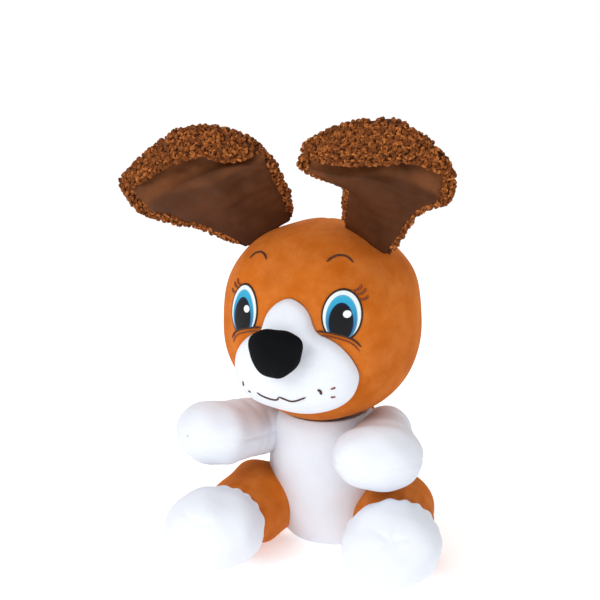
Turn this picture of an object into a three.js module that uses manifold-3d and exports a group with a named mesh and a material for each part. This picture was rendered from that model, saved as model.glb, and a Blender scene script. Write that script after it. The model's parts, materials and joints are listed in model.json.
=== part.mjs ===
// A sitting plush puppy whose two ears are swung by a small gear drive inside the head.
// Millimetres, +Z up. The origin is the centre of the seat, on the surface that the dog sits on.
// The dog looks along -Y, and its own left side is +X.
import * as THREE from "three";
import { mergeVertices } from "three/addons/utils/BufferGeometryUtils.js";
import Module from "manifold-3d";

const wasm = await Module();
wasm.setup();

// ---- driving dimensions -------------------------------------------------------------------------
const GAP = 0.4; // clearance between pieces that lie against each other
const PLUSH = 2.4; // thickness of a plush cover, pile included
const FACETS = { head: [26, 16], headInside: [18, 11], mound: [40, 24], moundInside: [22, 13] };
const SMOOTHING = 0.15; // triangles flatter than this are merged
const ROUNDNESS = 2.25; // superellipse exponent of the stuffed head: 2 is an ellipsoid, more is fuller

const HEAD = { x: 0, y: -34, z: 179, halfWidth: 72, halfDepth: 70, halfHeight: 72, jaw: 75, turn: -5.4 };
const MUZZLE = { middle: -24, bulge: 18 }; // height of its centre from the head's, and how proud it stands
const NOSE = { z: -11, halfWidth: 17.5, halfDepth: 12, halfHeight: 16, proud: 18.5 };
const EYE = { x: 36.5, z: 11.8, halfWidth: 12.6, halfHeight: 18.2, thread: 0.9 };
const BROW = { x: 32, z: 51, halfWidth: 7.5, rise: 4.5, thread: 0.7 };
const MOUTH = { z: -48, halfWidth: 17, sag: 5, thread: 1.3 };

const TORSO = { height: 117, lean: -20, halfWidth: 48.5, depthShare: 0.9, seam: 8 }; // seam: their Y
const NECK_GAP = 2.2; // the head turns over the top of the torso
const LIMB_GAP = 1.2; // between a limb's root and the torso it turns in
const SHOULDER = { x: 43, y: -8, z: 88, radius: 20 };
const ARM = { middle: 23, halfWidth: 33, halfHeight: 24, reach: 26 }; // middle: the arm's own radius
const PAW = { left: { x: 51, y: -74, z: 85 }, right: { x: -76, y: -62, z: 92 } };
const HIP = { x: 53, y: -20, z: 30.5, radius: 30, thigh: 28 };
const FOOT = { x: 66.5, y: -93, z: 28.5, halfWidth: 35, halfHeight: 29.6, reach: 30, seam: 26 };
const TAIL = { y: 33, z: 15, radius: 8, back: 26, up: 12, tip: 4.5 };

const GEAR = { module: 1.5, teeth: 20, pinionTeeth: 10, width: 5, pressure: 25, backlash: 0.35 };
const LEVER = { x: 46, width: 7, thickness: 3.2, hubRadius: 5.2, slotBack: -14, slotFront: 108 };
const CASE_WALL = 1.8;
const CASE_PLAY = 1; // between the gears' tips and their case
const CROWN_ROOM = 10.45; // between the case and the cover at the top of the head
const tipRadius = (teeth) => GEAR.module * (teeth / 2 + 0.9);
const caseReach = (teeth) => tipRadius(teeth) + CASE_PLAY + CASE_WALL;
const SHAFT = { y: -13, radius: 2, halfLength: 51 }; // in the head's own frame
SHAFT.z = HEAD.halfHeight - PLUSH - CROWN_ROOM - caseReach(GEAR.teeth);
const MOTOR = { radius: 10.5, length: 23 };
const EAR = { front: -3.4, lining: 1.6, stay: 1.4, stayGap: 1, sherpa: 5.4 }; // depths from its net
const EAR_SPAN = { fabric: 0.11, stay: 0.09, stayEnd: 0.42, stayShare: 0.4 }; // shares of its size
const CELL = { radius: 7.25, length: 50.5, count: 3 }; // AA cells
const BOX = { wall: 1.8, low: 27, front: 0, top: 7, lid: 2, play: 0.5 }; // top: the wall with the screw
const SWITCH = { x: 13, width: 5, travel: 4, height: 3, depth: 5, proud: 1 };
const SPEAKER = { radius: 14, thickness: 6, z: 62 };
const SOUND_BOARD = { width: 34, height: 26, thickness: 1.6, z: 30 };
const FLAP = { halfWidth: 26, low: 29, high: 89 }; // the hook-and-loop flap over the battery box
const BUTTON = { radius: 11, wall: 1.8, travel: 2, height: 9, capHeight: 7, play: 0.4 };

// ---- colours and finishes -----------------------------------------------------------------------
const finish = (color, roughness, metalness = 0) =>
  new THREE.MeshStandardMaterial({ color, roughness, metalness });
const TAN = finish(0xc4661c, 0.9);
const WHITE = finish(0xf1f3f6, 0.9);
const BLACK = finish(0x0c0d10, 0.85);
const CURLY = finish(0x7a4416, 1);
const SATIN = finish(0x4b2a18, 0.55);
const FIBRE = finish(0xf6f4ee, 1);
const THREAD = finish(0x3a2114, 0.6);
const IRIS = finish(0x3f9fd0, 0.5);
const MOULDED = finish(0xd9d9d4, 0.5);
const DARK_MOULDED = finish(0x2a2c30, 0.5);
const STEEL = finish(0xb8bbc0, 0.3, 1);
const BOARD = finish(0x1f6a3a, 0.5);

// ---- small helpers ------------------------------------------------------------------------------
const rad = THREE.MathUtils.degToRad;
const part = new THREE.Group();
const head = new THREE.Group();
head.position.set(HEAD.x, HEAD.y, HEAD.z);
head.rotation.z = rad(HEAD.turn);
part.add(head);

/** Turns a closed three.js geometry into a manifold-3d solid. */
function solid(geometry) {
  const bare = geometry.index ? geometry.toNonIndexed() : geometry.clone();
  bare.deleteAttribute("normal");
  bare.deleteAttribute("uv");
  const merged = mergeVertices(bare, 1e-4);
  return new wasm.Manifold(
    new wasm.Mesh({
      numProp: 3,
      vertProperties: new Float32Array(merged.attributes.position.array),
      triVerts: new Uint32Array(merged.index.array),
    }),
  );
}

/** Turns a manifold-3d solid back into a three.js geometry. */
function geometryOf(made) {
  const mesh = made.getMesh();
  const geometry = new THREE.BufferGeometry();
  const position = new Float32Array(mesh.numVert * 3);
  for (let i = 0; i < mesh.numVert; i++)
    position.set(mesh.vertProperties.subarray(i * mesh.numProp, i * mesh.numProp + 3), i * 3);
  geometry.setAttribute("position", new THREE.BufferAttribute(position, 3));
  geometry.setIndex(new THREE.BufferAttribute(new Uint32Array(mesh.triVerts), 1));
  return geometry;
}

/** The biggest of a solid's loose pieces. */
const largest = (made) => made.decompose().reduce((a, b) => (b.volume() > a.volume() ? b : a));

/** Adds one named piece to a group. */
function piece(name, made, material, parent = part) {
  const mesh = new THREE.Mesh(geometryOf(made.simplify(SMOOTHING)), material);
  mesh.name = name;
  parent.add(mesh);
  return mesh;
}

/** Moves every vertex of a geometry by a function of its position. */
function shaped(geometry, move) {
  const position = geometry.attributes.position;
  const point = new THREE.Vector3();
  for (let i = 0; i < position.count; i++) {
    point.fromBufferAttribute(position, i);
    move(point);
    position.setXYZ(i, point.x, point.y, point.z);
  }
  return geometry;
}

/** A unit sphere with its poles on Z. */
const unitSphere = (around, up) => new THREE.SphereGeometry(1, around, up).rotateX(Math.PI / 2);

/** An axis-aligned box from its low to its high corner. */
const block = (x0, y0, z0, x1, y1, z1) =>
  solid(
    new THREE.BoxGeometry(x1 - x0, y1 - y0, z1 - z0).translate((x0 + x1) / 2, (y0 + y1) / 2, (z0 + z1) / 2),
  );

/** A cylinder along X. */
const rodX = (x0, x1, y, z, radius, sides = 20) =>
  solid(
    new THREE.CylinderGeometry(radius, radius, x1 - x0, sides)
      .rotateZ(Math.PI / 2)
      .translate((x0 + x1) / 2, y, z),
  );

/** A cylinder along Y. */
const rodY = (y0, y1, x, z, radius, sides = 24) =>
  solid(new THREE.CylinderGeometry(radius, radius, y1 - y0, sides).translate(x, (y0 + y1) / 2, z));

/** The place and turn that carry +Z of a local frame onto the line from one point to another. */
function along(from, to) {
  const direction = new THREE.Vector3().subVectors(to, from).normalize();
  const turn = new THREE.Quaternion().setFromUnitVectors(new THREE.Vector3(0, 0, 1), direction);
  return new THREE.Matrix4().compose(from, turn, new THREE.Vector3(1, 1, 1));
}

const vector = (p) => new THREE.Vector3(p.x, p.y, p.z);

// ---- head: covers, muzzle, nose and stitched face ------------------------------------------------
/** Distance from the head's centre to its cover in a direction, which is a unit vector. */
function headRadius(d) {
  const sum =
    Math.abs(d.x / HEAD.halfWidth) ** ROUNDNESS +
    Math.abs(d.y / HEAD.halfDepth) ** ROUNDNESS +
    Math.abs(d.z / (d.z > 0 ? HEAD.halfHeight : HEAD.jaw)) ** ROUNDNESS;
  return sum ** (-1 / ROUNDNESS);
}

/** The muzzle panel's outline, seen from the front: half of it, mirrored. */
const MUZZLE_HALF = [
  [0, 23], [9, 19.5], [15, 13], [18.5, 4], [22, -1], [29, -4.5], [37, -10.5],
  [43.5, -20], [46.5, -32], [42.5, -44], [33, -52.5], [18, -58], [0, -60],
];
const muzzleCurve = new THREE.CatmullRomCurve3(
  [...MUZZLE_HALF, ...MUZZLE_HALF.slice(1, -1).reverse().map(([x, z]) => [-x, z])].map(
    ([x, z]) => new THREE.Vector3(x, z, 0),
  ),
  true,
);
const muzzleOutline = muzzleCurve.getPoints(64).slice(0, -1);

/** How far a front-view point is from the muzzle's middle, as a share of the way to the outline. */
function muzzleShare(x, z) {
  const angle = Math.atan2(z - MUZZLE.middle, x);
  const count = muzzleOutline.length;
  for (let i = 0; i < count; i++) {
    const a = muzzleOutline[i];
    const b = muzzleOutline[(i + 1) % count];
    const angleA = Math.atan2(a.y - MUZZLE.middle, a.x);
    const turnTo = (angleTo) => Math.atan2(Math.sin(angleTo - angleA), Math.cos(angleTo - angleA));
    const span = turnTo(Math.atan2(b.y - MUZZLE.middle, b.x));
    const share = turnTo(angle) / span;
    if (share >= 0 && share < 1) {
      const edge = Math.hypot(a.x + share * (b.x - a.x), a.y + share * (b.y - a.y) - MUZZLE.middle);
      return Math.hypot(x, z - MUZZLE.middle) / edge;
    }
  }
  return 1;
}

/** The head's shape with its surface moved outwards by an amount, with or without the muzzle's mound. */
function headSolid(outwards, mound, around, up) {
  return solid(
    shaped(unitSphere(around, up), (p) => {
      const radius = headRadius(p);
      let proud = outwards;
      if (mound && p.y < 0) {
        const share = muzzleShare(p.x * radius, p.z * radius);
        proud += MUZZLE.bulge * Math.max(0, 1 - share ** 2.6) ** 0.7;
      }
      p.multiplyScalar(radius + proud);
    }),
  );
}

/** A prism along Y with a front-view outline, from behind the face to in front of it. */
function faceCutter(shape) {
  const depth = HEAD.halfDepth * 2;
  const prism = new THREE.ExtrudeGeometry(shape, { depth, bevelEnabled: false, curveSegments: 24 });
  prism.rotateX(Math.PI / 2).translate(0, -10, 0);
  return solid(prism);
}

const muzzlePrism = (grow) =>
  faceCutter(
    new THREE.Shape(
      muzzleOutline.map((p) => {
        const reach = Math.hypot(p.x, p.y - MUZZLE.middle);
        const scale = (reach + grow) / reach;
        return new THREE.Vector2(p.x * scale, MUZZLE.middle + (p.y - MUZZLE.middle) * scale);
      }),
    ),
  );

const headOuter = headSolid(0, false, ...FACETS.head);
const headInner = headSolid(-PLUSH, false, ...FACETS.headInside);

/** The wedge that an ear's lever sweeps through, about the ear shaft. */
function leverSlot(side) {
  const reach = HEAD.halfHeight;
  // angles are measured from straight up, towards the face
  const start = Math.PI / 2 + rad(LEVER.slotBack);
  const end = Math.PI / 2 + rad(LEVER.slotFront);
  const wedge = new THREE.Shape();
  wedge.moveTo(0, 0);
  wedge.lineTo(reach * Math.cos(start), reach * Math.sin(start));
  wedge.absarc(0, 0, reach, start, end, false);
  const width = LEVER.width + 3;
  const made = new THREE.ExtrudeGeometry(wedge, { depth: width, bevelEnabled: false, curveSegments: 6 });
  // the shape's X becomes +Y, its Y becomes +Z, and its depth runs along X
  made.translate(0, 0, -width / 2).rotateX(Math.PI / 2).rotateZ(Math.PI / 2);
  const ends = [side * LEVER.x - width / 2, side * LEVER.x + width / 2];
  const hub = rodX(...ends, SHAFT.y, SHAFT.z, LEVER.hubRadius + 1);
  return solid(made.translate(side * LEVER.x, SHAFT.y, SHAFT.z)).add(hub);
}
const slots = leverSlot(1).add(leverSlot(-1));
piece("head_cover", headOuter.subtract(headInner).subtract(muzzlePrism(GAP)).subtract(slots), TAN, head);

const moundOuter = headSolid(0, true, ...FACETS.mound);
const moundInner = headSolid(-PLUSH, true, ...FACETS.moundInside);
const muzzleCover = moundOuter.subtract(moundInner).intersect(muzzlePrism(-GAP));
piece("muzzle_cover", muzzleCover, WHITE, head);

const noseY = -(HEAD.halfDepth + MUZZLE.bulge + NOSE.proud - NOSE.halfDepth);
const noseShape = unitSphere(20, 12).scale(NOSE.halfWidth, NOSE.halfDepth, NOSE.halfHeight);
shaped(noseShape, (p) => {
  p.x *= 1 + 0.18 * (p.z / NOSE.halfHeight); // wider above, narrower towards the mouth
  p.y += noseY;
  p.z += NOSE.z;
});
piece("nose_cushion", solid(noseShape).subtract(headSolid(GAP, true, ...FACETS.mound)), BLACK, head);

/** A thin layer that lies on the head, cut to a front-view outline. */
function appliqueOnHead(shape, thickness, mound) {
  const detail = mound ? FACETS.mound : FACETS.head;
  return headSolid(GAP + thickness, mound, ...detail)
    .subtract(headSolid(GAP, mound, ...detail))
    .intersect(faceCutter(shape));
}

/** A stitched line: a strip of even width along an arc in the front view. */
function strip(points, width) {
  const curve = new THREE.CatmullRomCurve3(points.map(([x, z]) => new THREE.Vector3(x, z, 0)));
  const samples = curve.getPoints(10);
  const left = [];
  const right = [];
  samples.forEach((p, i) => {
    const t = curve.getTangent(i / 10);
    left.push(new THREE.Vector2(p.x - (t.y * width) / 2, p.y + (t.x * width) / 2));
    right.push(new THREE.Vector2(p.x + (t.y * width) / 2, p.y - (t.x * width) / 2));
  });
  return new THREE.Shape([...left, ...right.reverse()]);
}

for (const [name, side] of [["left", 1], ["right", -1]]) {
  const eye = new THREE.Shape();
  eye.absellipse(side * EYE.x, EYE.z, EYE.halfWidth, EYE.halfHeight, 0, 2 * Math.PI);
  piece(`eye_${name}_embroidery`, appliqueOnHead(eye, EYE.thread, false), IRIS, head);
  const brow = strip(
    [
      [side * (BROW.x - BROW.halfWidth), BROW.z - BROW.rise],
      [side * BROW.x, BROW.z],
      [side * (BROW.x + BROW.halfWidth), BROW.z - BROW.rise],
    ],
    1.8,
  );
  piece(`brow_${name}_embroidery`, appliqueOnHead(brow, BROW.thread, false), THREAD, head);
}
const mouth = strip(
  [
    [-MOUTH.halfWidth, MOUTH.z + MOUTH.sag], [-MOUTH.halfWidth / 2, MOUTH.z], [0, MOUTH.z + MOUTH.sag * 0.7],
    [MOUTH.halfWidth / 2, MOUTH.z], [MOUTH.halfWidth, MOUTH.z + MOUTH.sag],
  ],
  1.6,
);
piece("mouth_embroidery", appliqueOnHead(mouth, MOUTH.thread, true), THREAD, head);

// ---- ear drive inside the head --------------------------------------------------------------------
/** A spur gear about X with involute flanks, one tooth pointing along +Z turned by a phase. */
function gearShape(teeth, phase) {
  const pitch = (GEAR.module * teeth) / 2;
  const base = pitch * Math.cos(rad(GEAR.pressure));
  const tip = pitch + GEAR.module * 0.9;
  const root = pitch - GEAR.module * 1.2;
  const involute = (r) => {
    const t = Math.sqrt(Math.max(0, (r / base) ** 2 - 1));
    return t - Math.atan(t);
  };
  const halfTooth = Math.PI / 2 / teeth - GEAR.backlash / 2 / pitch;
  const points = [];
  for (let k = 0; k < teeth; k++) {
    const middle = phase + (2 * Math.PI * k) / teeth;
    const flank = [Math.max(root, base), tip].map((r) => [
      r,
      halfTooth + involute(pitch) - involute(r),
    ]);
    const rootHalf = flank[0][1] + 0.02;
    const side = [[root, rootHalf], ...flank];
    for (const [r, half] of side) points.push([r, middle - half]);
    for (const [r, half] of side.reverse()) points.push([r, middle + half]);
  }
  return new THREE.Shape(points.map(([r, a]) => new THREE.Vector2(r * Math.cos(a), r * Math.sin(a))));
}

/** A gear about X at a place in the head's Y-Z plane. */
function gear(teeth, phase, y, z, width) {
  const made = new THREE.ExtrudeGeometry(gearShape(teeth, phase), { depth: width, bevelEnabled: false });
  made.translate(0, 0, -width / 2).rotateY(Math.PI / 2).rotateX(Math.PI / 2); // plane XY becomes YZ
  return solid(made.translate(0, y, z));
}

const centreDistance = (GEAR.module * (GEAR.teeth + GEAR.pinionTeeth)) / 2;
const pinionY = SHAFT.y + centreDistance;
const bore = (y, z, radius) => rodX(-80, 80, y, z, radius);

const earShaft = rodX(-SHAFT.halfLength, SHAFT.halfLength, SHAFT.y, SHAFT.z, SHAFT.radius, 16);
piece("ear_shaft", earShaft, STEEL, head);
const bigGear = gear(GEAR.teeth, Math.PI / GEAR.teeth, SHAFT.y, SHAFT.z, GEAR.width);
piece("ear_gear", bigGear.subtract(bore(SHAFT.y, SHAFT.z, SHAFT.radius + GAP)), MOULDED, head);

const caseHalf = GEAR.width / 2 + 1.5 + CASE_WALL;
const axleRadius = 1.6;
const pinion = gear(GEAR.pinionTeeth, Math.PI, pinionY, SHAFT.z, GEAR.width);
const axle = rodX(-caseHalf + CASE_WALL / 2, caseHalf + 4, pinionY, SHAFT.z, axleRadius, 12);
piece("drive_pinion", pinion.add(axle), MOULDED, head);

const caseLow = {
  y: SHAFT.y - caseReach(GEAR.teeth),
  z: SHAFT.z - caseReach(GEAR.teeth),
};
const caseHigh = {
  y: pinionY + caseReach(GEAR.pinionTeeth),
  z: SHAFT.z + caseReach(GEAR.teeth),
};
const caseCavity = block(
  -caseHalf + CASE_WALL, caseLow.y + CASE_WALL, caseLow.z + CASE_WALL,
  caseHalf - CASE_WALL, caseHigh.y - CASE_WALL, caseHigh.z - CASE_WALL,
);
const screwPlace = { y: caseHigh.y - CASE_WALL - 2.2, z: [caseLow.z + 4, caseHigh.z - 4] };
const screwHoles = screwPlace.z.map((z) => bore(screwPlace.y, z, 1.2 + GAP));
const caseBores = [
  bore(SHAFT.y, SHAFT.z, SHAFT.radius + GAP),
  rodX(-caseHalf + CASE_WALL / 2 - GAP, caseHalf + 1, pinionY, SHAFT.z, axleRadius + GAP),
  ...screwHoles,
].reduce((a, b) => a.add(b));
for (const [name, low, high] of [
  ["left", GAP / 2, caseHalf],
  ["right", -caseHalf, -GAP / 2],
]) {
  const shell = block(low, caseLow.y, caseLow.z, high, caseHigh.y, caseHigh.z);
  piece(`drive_case_${name}`, shell.subtract(caseCavity).subtract(caseBores), DARK_MOULDED, head);
}
screwPlace.z.forEach((z, i) => {
  const shank = rodX(-caseHalf, caseHalf - 1, screwPlace.y, z, 1.2, 12);
  const cap = rodX(-caseHalf - 2, -caseHalf - GAP, screwPlace.y, z, 2.3, 12);
  const neck = rodX(-caseHalf - 1, -caseHalf + 1, screwPlace.y, z, 1.2, 12);
  piece(`case_screw_${i + 1}`, shank.add(neck).add(cap), STEEL, head);
});
const motor = rodX(caseHalf + GAP, caseHalf + GAP + MOTOR.length, pinionY, SHAFT.z, MOTOR.radius, 28);
const motorBore = rodX(caseHalf, caseHalf + 4 + 2 * GAP, pinionY, SHAFT.z, axleRadius + GAP);
piece("drive_motor", motor.subtract(motorBore), STEEL, head);

// ---- ears -----------------------------------------------------------------------------------------
// Each ear is a leaf-shaped surface through a net of points in the head's frame. Its rows run from the
// root up the stem and its neck to a crease, rise to the ridge and fold forward to the rim. The columns run from the
// inner edge to the outer. The right ear hangs wider than the left.
const EAR_NETS = {
  left: [
    [[20, -10, 71], [30, -15, 66], [40, -18, 60], [49, -20, 54], [58, -21, 47]],
    [[27, -30, 89], [41, -36, 86], [55, -38, 83], [68, -38, 81], [79, -34, 78]],
    [[30, -42, 101], [47, -50, 96], [60, -52, 93], [75, -50, 90], [93, -44, 87]],
    [[4, -50, 112], [32, -56, 106], [61, -58, 107], [84, -56, 100], [106, -48, 91]],
    [[2, -50, 119], [31, -54, 121], [58, -54, 125], [85, -54, 120], [110, -46, 102]],
    [[7, -56, 129], [29, -56, 141], [57, -56, 145], [86, -56, 140], [109, -48, 115]],
    [[13, -64, 120], [37, -72, 117], [63, -72, 117], [85, -68, 119], [105, -56, 112]],
  ],
  right: [
    [[-22, -6, 74], [-30, -10, 69], [-37, -14, 63], [-45, -18, 57], [-53, -21, 52]],
    [[-19, -24, 95], [-36, -30, 90], [-52, -34, 82], [-68, -36, 75], [-85, -36, 67]],
    [[-20, -34, 104], [-37, -42, 100], [-57, -46, 91], [-80, -47, 84], [-103, -44, 71]],
    [[-21, -44, 115], [-41, -54, 112], [-64, -58, 103], [-93, -58, 95], [-124, -48, 78]],
    [[-28, -44, 123], [-47, -50, 121], [-70, -54, 118], [-99, -54, 109], [-136, -48, 89]],
    [[-35, -48, 130], [-52, -52, 135], [-74, -56, 139], [-106, -56, 125], [-140, -50, 101]],
    [[-33, -58, 120], [-47, -68, 117], [-66, -70, 121], [-95, -68, 112], [-126, -56, 98]],
  ],
};

/** Weights of four neighbouring points on a Catmull-Rom curve. */
function catmull(t) {
  return [
    (-t + 2 * t * t - t ** 3) / 2,
    (2 - 5 * t * t + 3 * t ** 3) / 2,
    (t + 4 * t * t - 3 * t ** 3) / 2,
    (-t * t + t ** 3) / 2,
  ];
}

/** A point of a net; past its ends the line goes straight on. */
function netPoint(net, row, column) {
  const r = Math.min(Math.max(row, 0), net.length - 1);
  const c = Math.min(Math.max(column, 0), net[0].length - 1);
  const p = new THREE.Vector3(...net[r][c]);
  if (r !== row) p.add(p.clone().sub(new THREE.Vector3(...net[r + Math.sign(r - row)][c])));
  if (c !== column) p.add(p.clone().sub(new THREE.Vector3(...net[r][c + Math.sign(c - column)])));
  return p;
}

/** An ear's surface: u is 0 at the inner edge and 1 at the outer, v is 0 at the root and 1 at the rim. */
function earPoint(net, u, v) {
  const rowAt = Math.min(Math.max(v, 0), 1) * (net.length - 1);
  const columnAt = Math.min(Math.max(u, 0), 1) * (net[0].length - 1);
  const row = Math.min(Math.floor(rowAt), net.length - 2);
  const column = Math.min(Math.floor(columnAt), net[0].length - 2);
  const across = catmull(columnAt - column);
  const up = catmull(rowAt - row);
  const sum = new THREE.Vector3();
  up.forEach((wr, i) =>
    across.forEach((wc, j) => sum.addScaledVector(netPoint(net, row - 1 + i, column - 1 + j), wr * wc)),
  );
  return sum;
}

/** The direction from an ear's lining towards its curly back, square to the surface. */
function earBack(net, u, v) {
  const step = 0.02;
  const across = earPoint(net, u + step, v).sub(earPoint(net, u - step, v));
  const up = earPoint(net, u, v + step).sub(earPoint(net, u, v - step));
  const outwards = Math.sign(net[0][4][0] - net[0][0][0]);
  return up.cross(across).normalize().multiplyScalar(outwards);
}

/** A layer of an ear between two depths behind its lining's back. */
function earLayer(net, [near, far], [u0, u1], [v0, v1], acrossSteps, upSteps) {
  const sheet = new THREE.BoxGeometry(1, 1, 1, acrossSteps, upSteps, 1);
  const mirrored = net[0][4][0] < net[0][0][0];
  return solid(
    shaped(sheet, (p) => {
      const u = u0 + (u1 - u0) * (mirrored ? 0.5 - p.x : 0.5 + p.x);
      const v = v0 + (v1 - v0) * (p.y + 0.5);
      const depth = p.z > 0 ? near : far;
      p.copy(earPoint(net, u, v)).addScaledVector(earBack(net, u, v), depth);
    }),
  );
}

for (const [name, side] of [["left", 1], ["right", -1]]) {
  const net = EAR_NETS[name];
  const liningBack = EAR.front + EAR.lining;
  const stayNear = liningBack + EAR.stayGap;
  const stayDepths = [stayNear, stayNear + EAR.stay];
  const sherpaNear = stayDepths[1] + EAR.stayGap;
  const fabric = [EAR_SPAN.fabric, 1];
  const sherpa = earLayer(net, [sherpaNear, sherpaNear + EAR.sherpa], [0, 1], fabric, 8, 12);
  const sherpaRoom = earLayer(net, [sherpaNear - GAP, sherpaNear + EAR.sherpa], [0, 1], fabric, 8, 12);
  const lining = earLayer(net, [EAR.front, liningBack], [0.01, 0.99], fabric, 8, 12);
  piece(`ear_${name}_sherpa`, sherpa, CURLY, head);
  piece(`ear_${name}_lining`, largest(lining.subtract(sherpaRoom)), SATIN, head);

  const half = EAR_SPAN.stayShare / 2;
  const reach = [EAR_SPAN.stay, EAR_SPAN.stayEnd];
  const liningRoom = earLayer(net, [EAR.front, liningBack + GAP], [0.01, 0.99], fabric, 8, 12);
  const blade = earLayer(net, stayDepths, [0.5 - half, 0.5 + half], reach, 6, 8);
  const footAt = EAR_SPAN.stay + 0.02;
  const foot = earPoint(net, 0.5, footAt);
  foot.addScaledVector(earBack(net, 0.5, footAt), stayNear + EAR.stay / 2);
  foot.x = side * LEVER.x;
  const hubCentre = new THREE.Vector3(side * LEVER.x, SHAFT.y, SHAFT.z);
  const armLength = hubCentre.distanceTo(foot);
  const arm = new THREE.BoxGeometry(LEVER.width, LEVER.thickness, armLength).translate(0, 0, armLength / 2);
  const hubEnds = [side * LEVER.x - LEVER.width / 2, side * LEVER.x + LEVER.width / 2];
  const hub = rodX(...hubEnds, SHAFT.y, SHAFT.z, LEVER.hubRadius, 20);
  const stay = blade.add(solid(arm.applyMatrix4(along(hubCentre, foot)))).add(hub);
  const shaftHole = bore(SHAFT.y, SHAFT.z, SHAFT.radius + GAP);
  const stayRoom = sherpaRoom.add(liningRoom).add(shaftHole);
  piece(`ear_${name}_stay`, largest(stay.subtract(stayRoom)), MOULDED, head);
}

// ---- head filling: what is left inside the covers ---------------------------------------------------
const driveRoom = block(
  -caseHalf - 3, caseLow.y - GAP, caseLow.z - GAP,
  caseHalf + MOTOR.length + 2 * GAP, caseHigh.y + 4, caseHigh.z + GAP,
);
const shaftRoom = bore(SHAFT.y, SHAFT.z, SHAFT.radius + 1.5).intersect(
  block(-SHAFT.halfLength - 2, -100, -100, SHAFT.halfLength + 2, 100, 100),
);
const headFibre = headSolid(-PLUSH - GAP, false, ...FACETS.headInside);
const muzzleFibre = headSolid(-PLUSH - GAP, true, ...FACETS.moundInside)
  .intersect(muzzlePrism(-PLUSH - 2 * GAP));
const muzzleRoom = headSolid(GAP, true, ...FACETS.mound).subtract(moundInner).intersect(muzzlePrism(0));
piece(
  "head_filling",
  headFibre.add(muzzleFibre).subtract(muzzleRoom).subtract(driveRoom).subtract(shaftRoom).subtract(slots),
  FIBRE,
  head,
);

// ---- limbs ------------------------------------------------------------------------------------------
/** The quarter of a ball's profile behind its centre, as points of distance along the limb and radius. */
const ballBack = (radius, steps = 5) =>
  Array.from({ length: steps }, (_, i) => {
    const angle = (Math.PI / 2) * (i / steps);
    return [-radius * Math.cos(angle), radius * Math.sin(angle)];
  });

/** A round limb along a line: a profile turned about the line, flattened towards its far end. */
function limb(profile, from, to, inwards, flatten, around) {
  const direction = new THREE.Vector3().subVectors(to, from).normalize();
  const sideways = new THREE.Vector3().crossVectors(direction, new THREE.Vector3(0, 0, 1)).normalize();
  const upwards = new THREE.Vector3().crossVectors(sideways, direction);
  const length = from.distanceTo(to);
  const line = profile.map(([w, r], i) => {
    const a = profile[Math.max(i - 1, 0)];
    const b = profile[Math.min(i + 1, profile.length - 1)];
    const atPole = new THREE.Vector2(0, w < 0 ? 1 : -1);
    const slope = r === 0 ? atPole : new THREE.Vector2(b[0] - a[0], b[1] - a[1]);
    slope.normalize();
    const inner = w + inwards * slope.y;
    return new THREE.Vector2(r === 0 ? 0 : Math.max(r - inwards * slope.x, 0.2), inner);
  });
  const turned = new THREE.LatheGeometry(line, around);
  return solid(
    shaped(turned, (p) => {
      const [side, w, up] = [p.x, p.y, p.z];
      const share = THREE.MathUtils.smoothstep(w, length * 0.15, length * 0.9);
      const squash = 1 + (flatten - 1) * share;
      p.copy(from).addScaledVector(direction, w);
      p.addScaledVector(sideways, side).addScaledVector(upwards, up * squash);
    }),
  );
}

const aboveFloor = block(-300, -300, 0, 300, 300, 400);
const mirrorSide = (p, side) => new THREE.Vector3(side * p.x, p.y, p.z);

/** One arm with its surface moved inwards by an amount. */
function armSolid(name, side, inwards, around = 18) {
  const from = mirrorSide(SHOULDER, side);
  const to = vector(PAW[name]);
  const length = from.distanceTo(to);
  const paw = (angle) => [length + ARM.reach * Math.sin(rad(angle)), ARM.halfWidth * Math.cos(rad(angle))];
  const profile = [
    ...ballBack(SHOULDER.radius), [0, SHOULDER.radius],
    [length * 0.28, ARM.middle - 1], [length * 0.5, ARM.middle + 2],
    [length * 0.75, ARM.halfWidth - 3], paw(0), paw(25), paw(47), paw(68), [length + ARM.reach, 0],
  ];
  return limb(profile, from, to, inwards, ARM.halfHeight / ARM.halfWidth, around);
}

/** One leg with its foot, with its surface moved inwards by an amount. */
function legSolid(side, inwards, around = 20) {
  const from = mirrorSide(HIP, side);
  const to = mirrorSide(FOOT, side);
  const length = from.distanceTo(to);
  const wide = FOOT.halfWidth;
  const profile = [
    ...ballBack(HIP.radius), [0, HIP.radius],
    [length * 0.3, HIP.thigh + 1], [length - FOOT.seam - 6, HIP.thigh],
    [length - FOOT.seam + 6, HIP.thigh + 3.5], [length - 6, wide - 0.6], [length + 6, wide - 0.4],
    [length + FOOT.reach * 0.55, wide - 5], [length + FOOT.reach * 0.85, wide - 16],
    [length + FOOT.reach, 0],
  ];
  return limb(profile, from, to, inwards, FOOT.halfHeight / wide, around);
}

/** A half space beyond a point on a limb's line: the outer part of the limb. */
function beyond(from, to, distance) {
  const start = new THREE.Vector3().subVectors(to, from).normalize().multiplyScalar(distance).add(from);
  const cube = new THREE.BoxGeometry(300, 300, 300).translate(0, 0, 150).applyMatrix4(along(start, to));
  return solid(cube);
}

/** A disc or rod along a limb's line. */
function discAlong(from, to, near, far, radius, sides = 20) {
  const rod = new THREE.CylinderGeometry(radius, radius, far - near, sides).rotateX(Math.PI / 2);
  return solid(rod.translate(0, 0, (near + far) / 2).applyMatrix4(along(from, to)));
}

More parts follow.
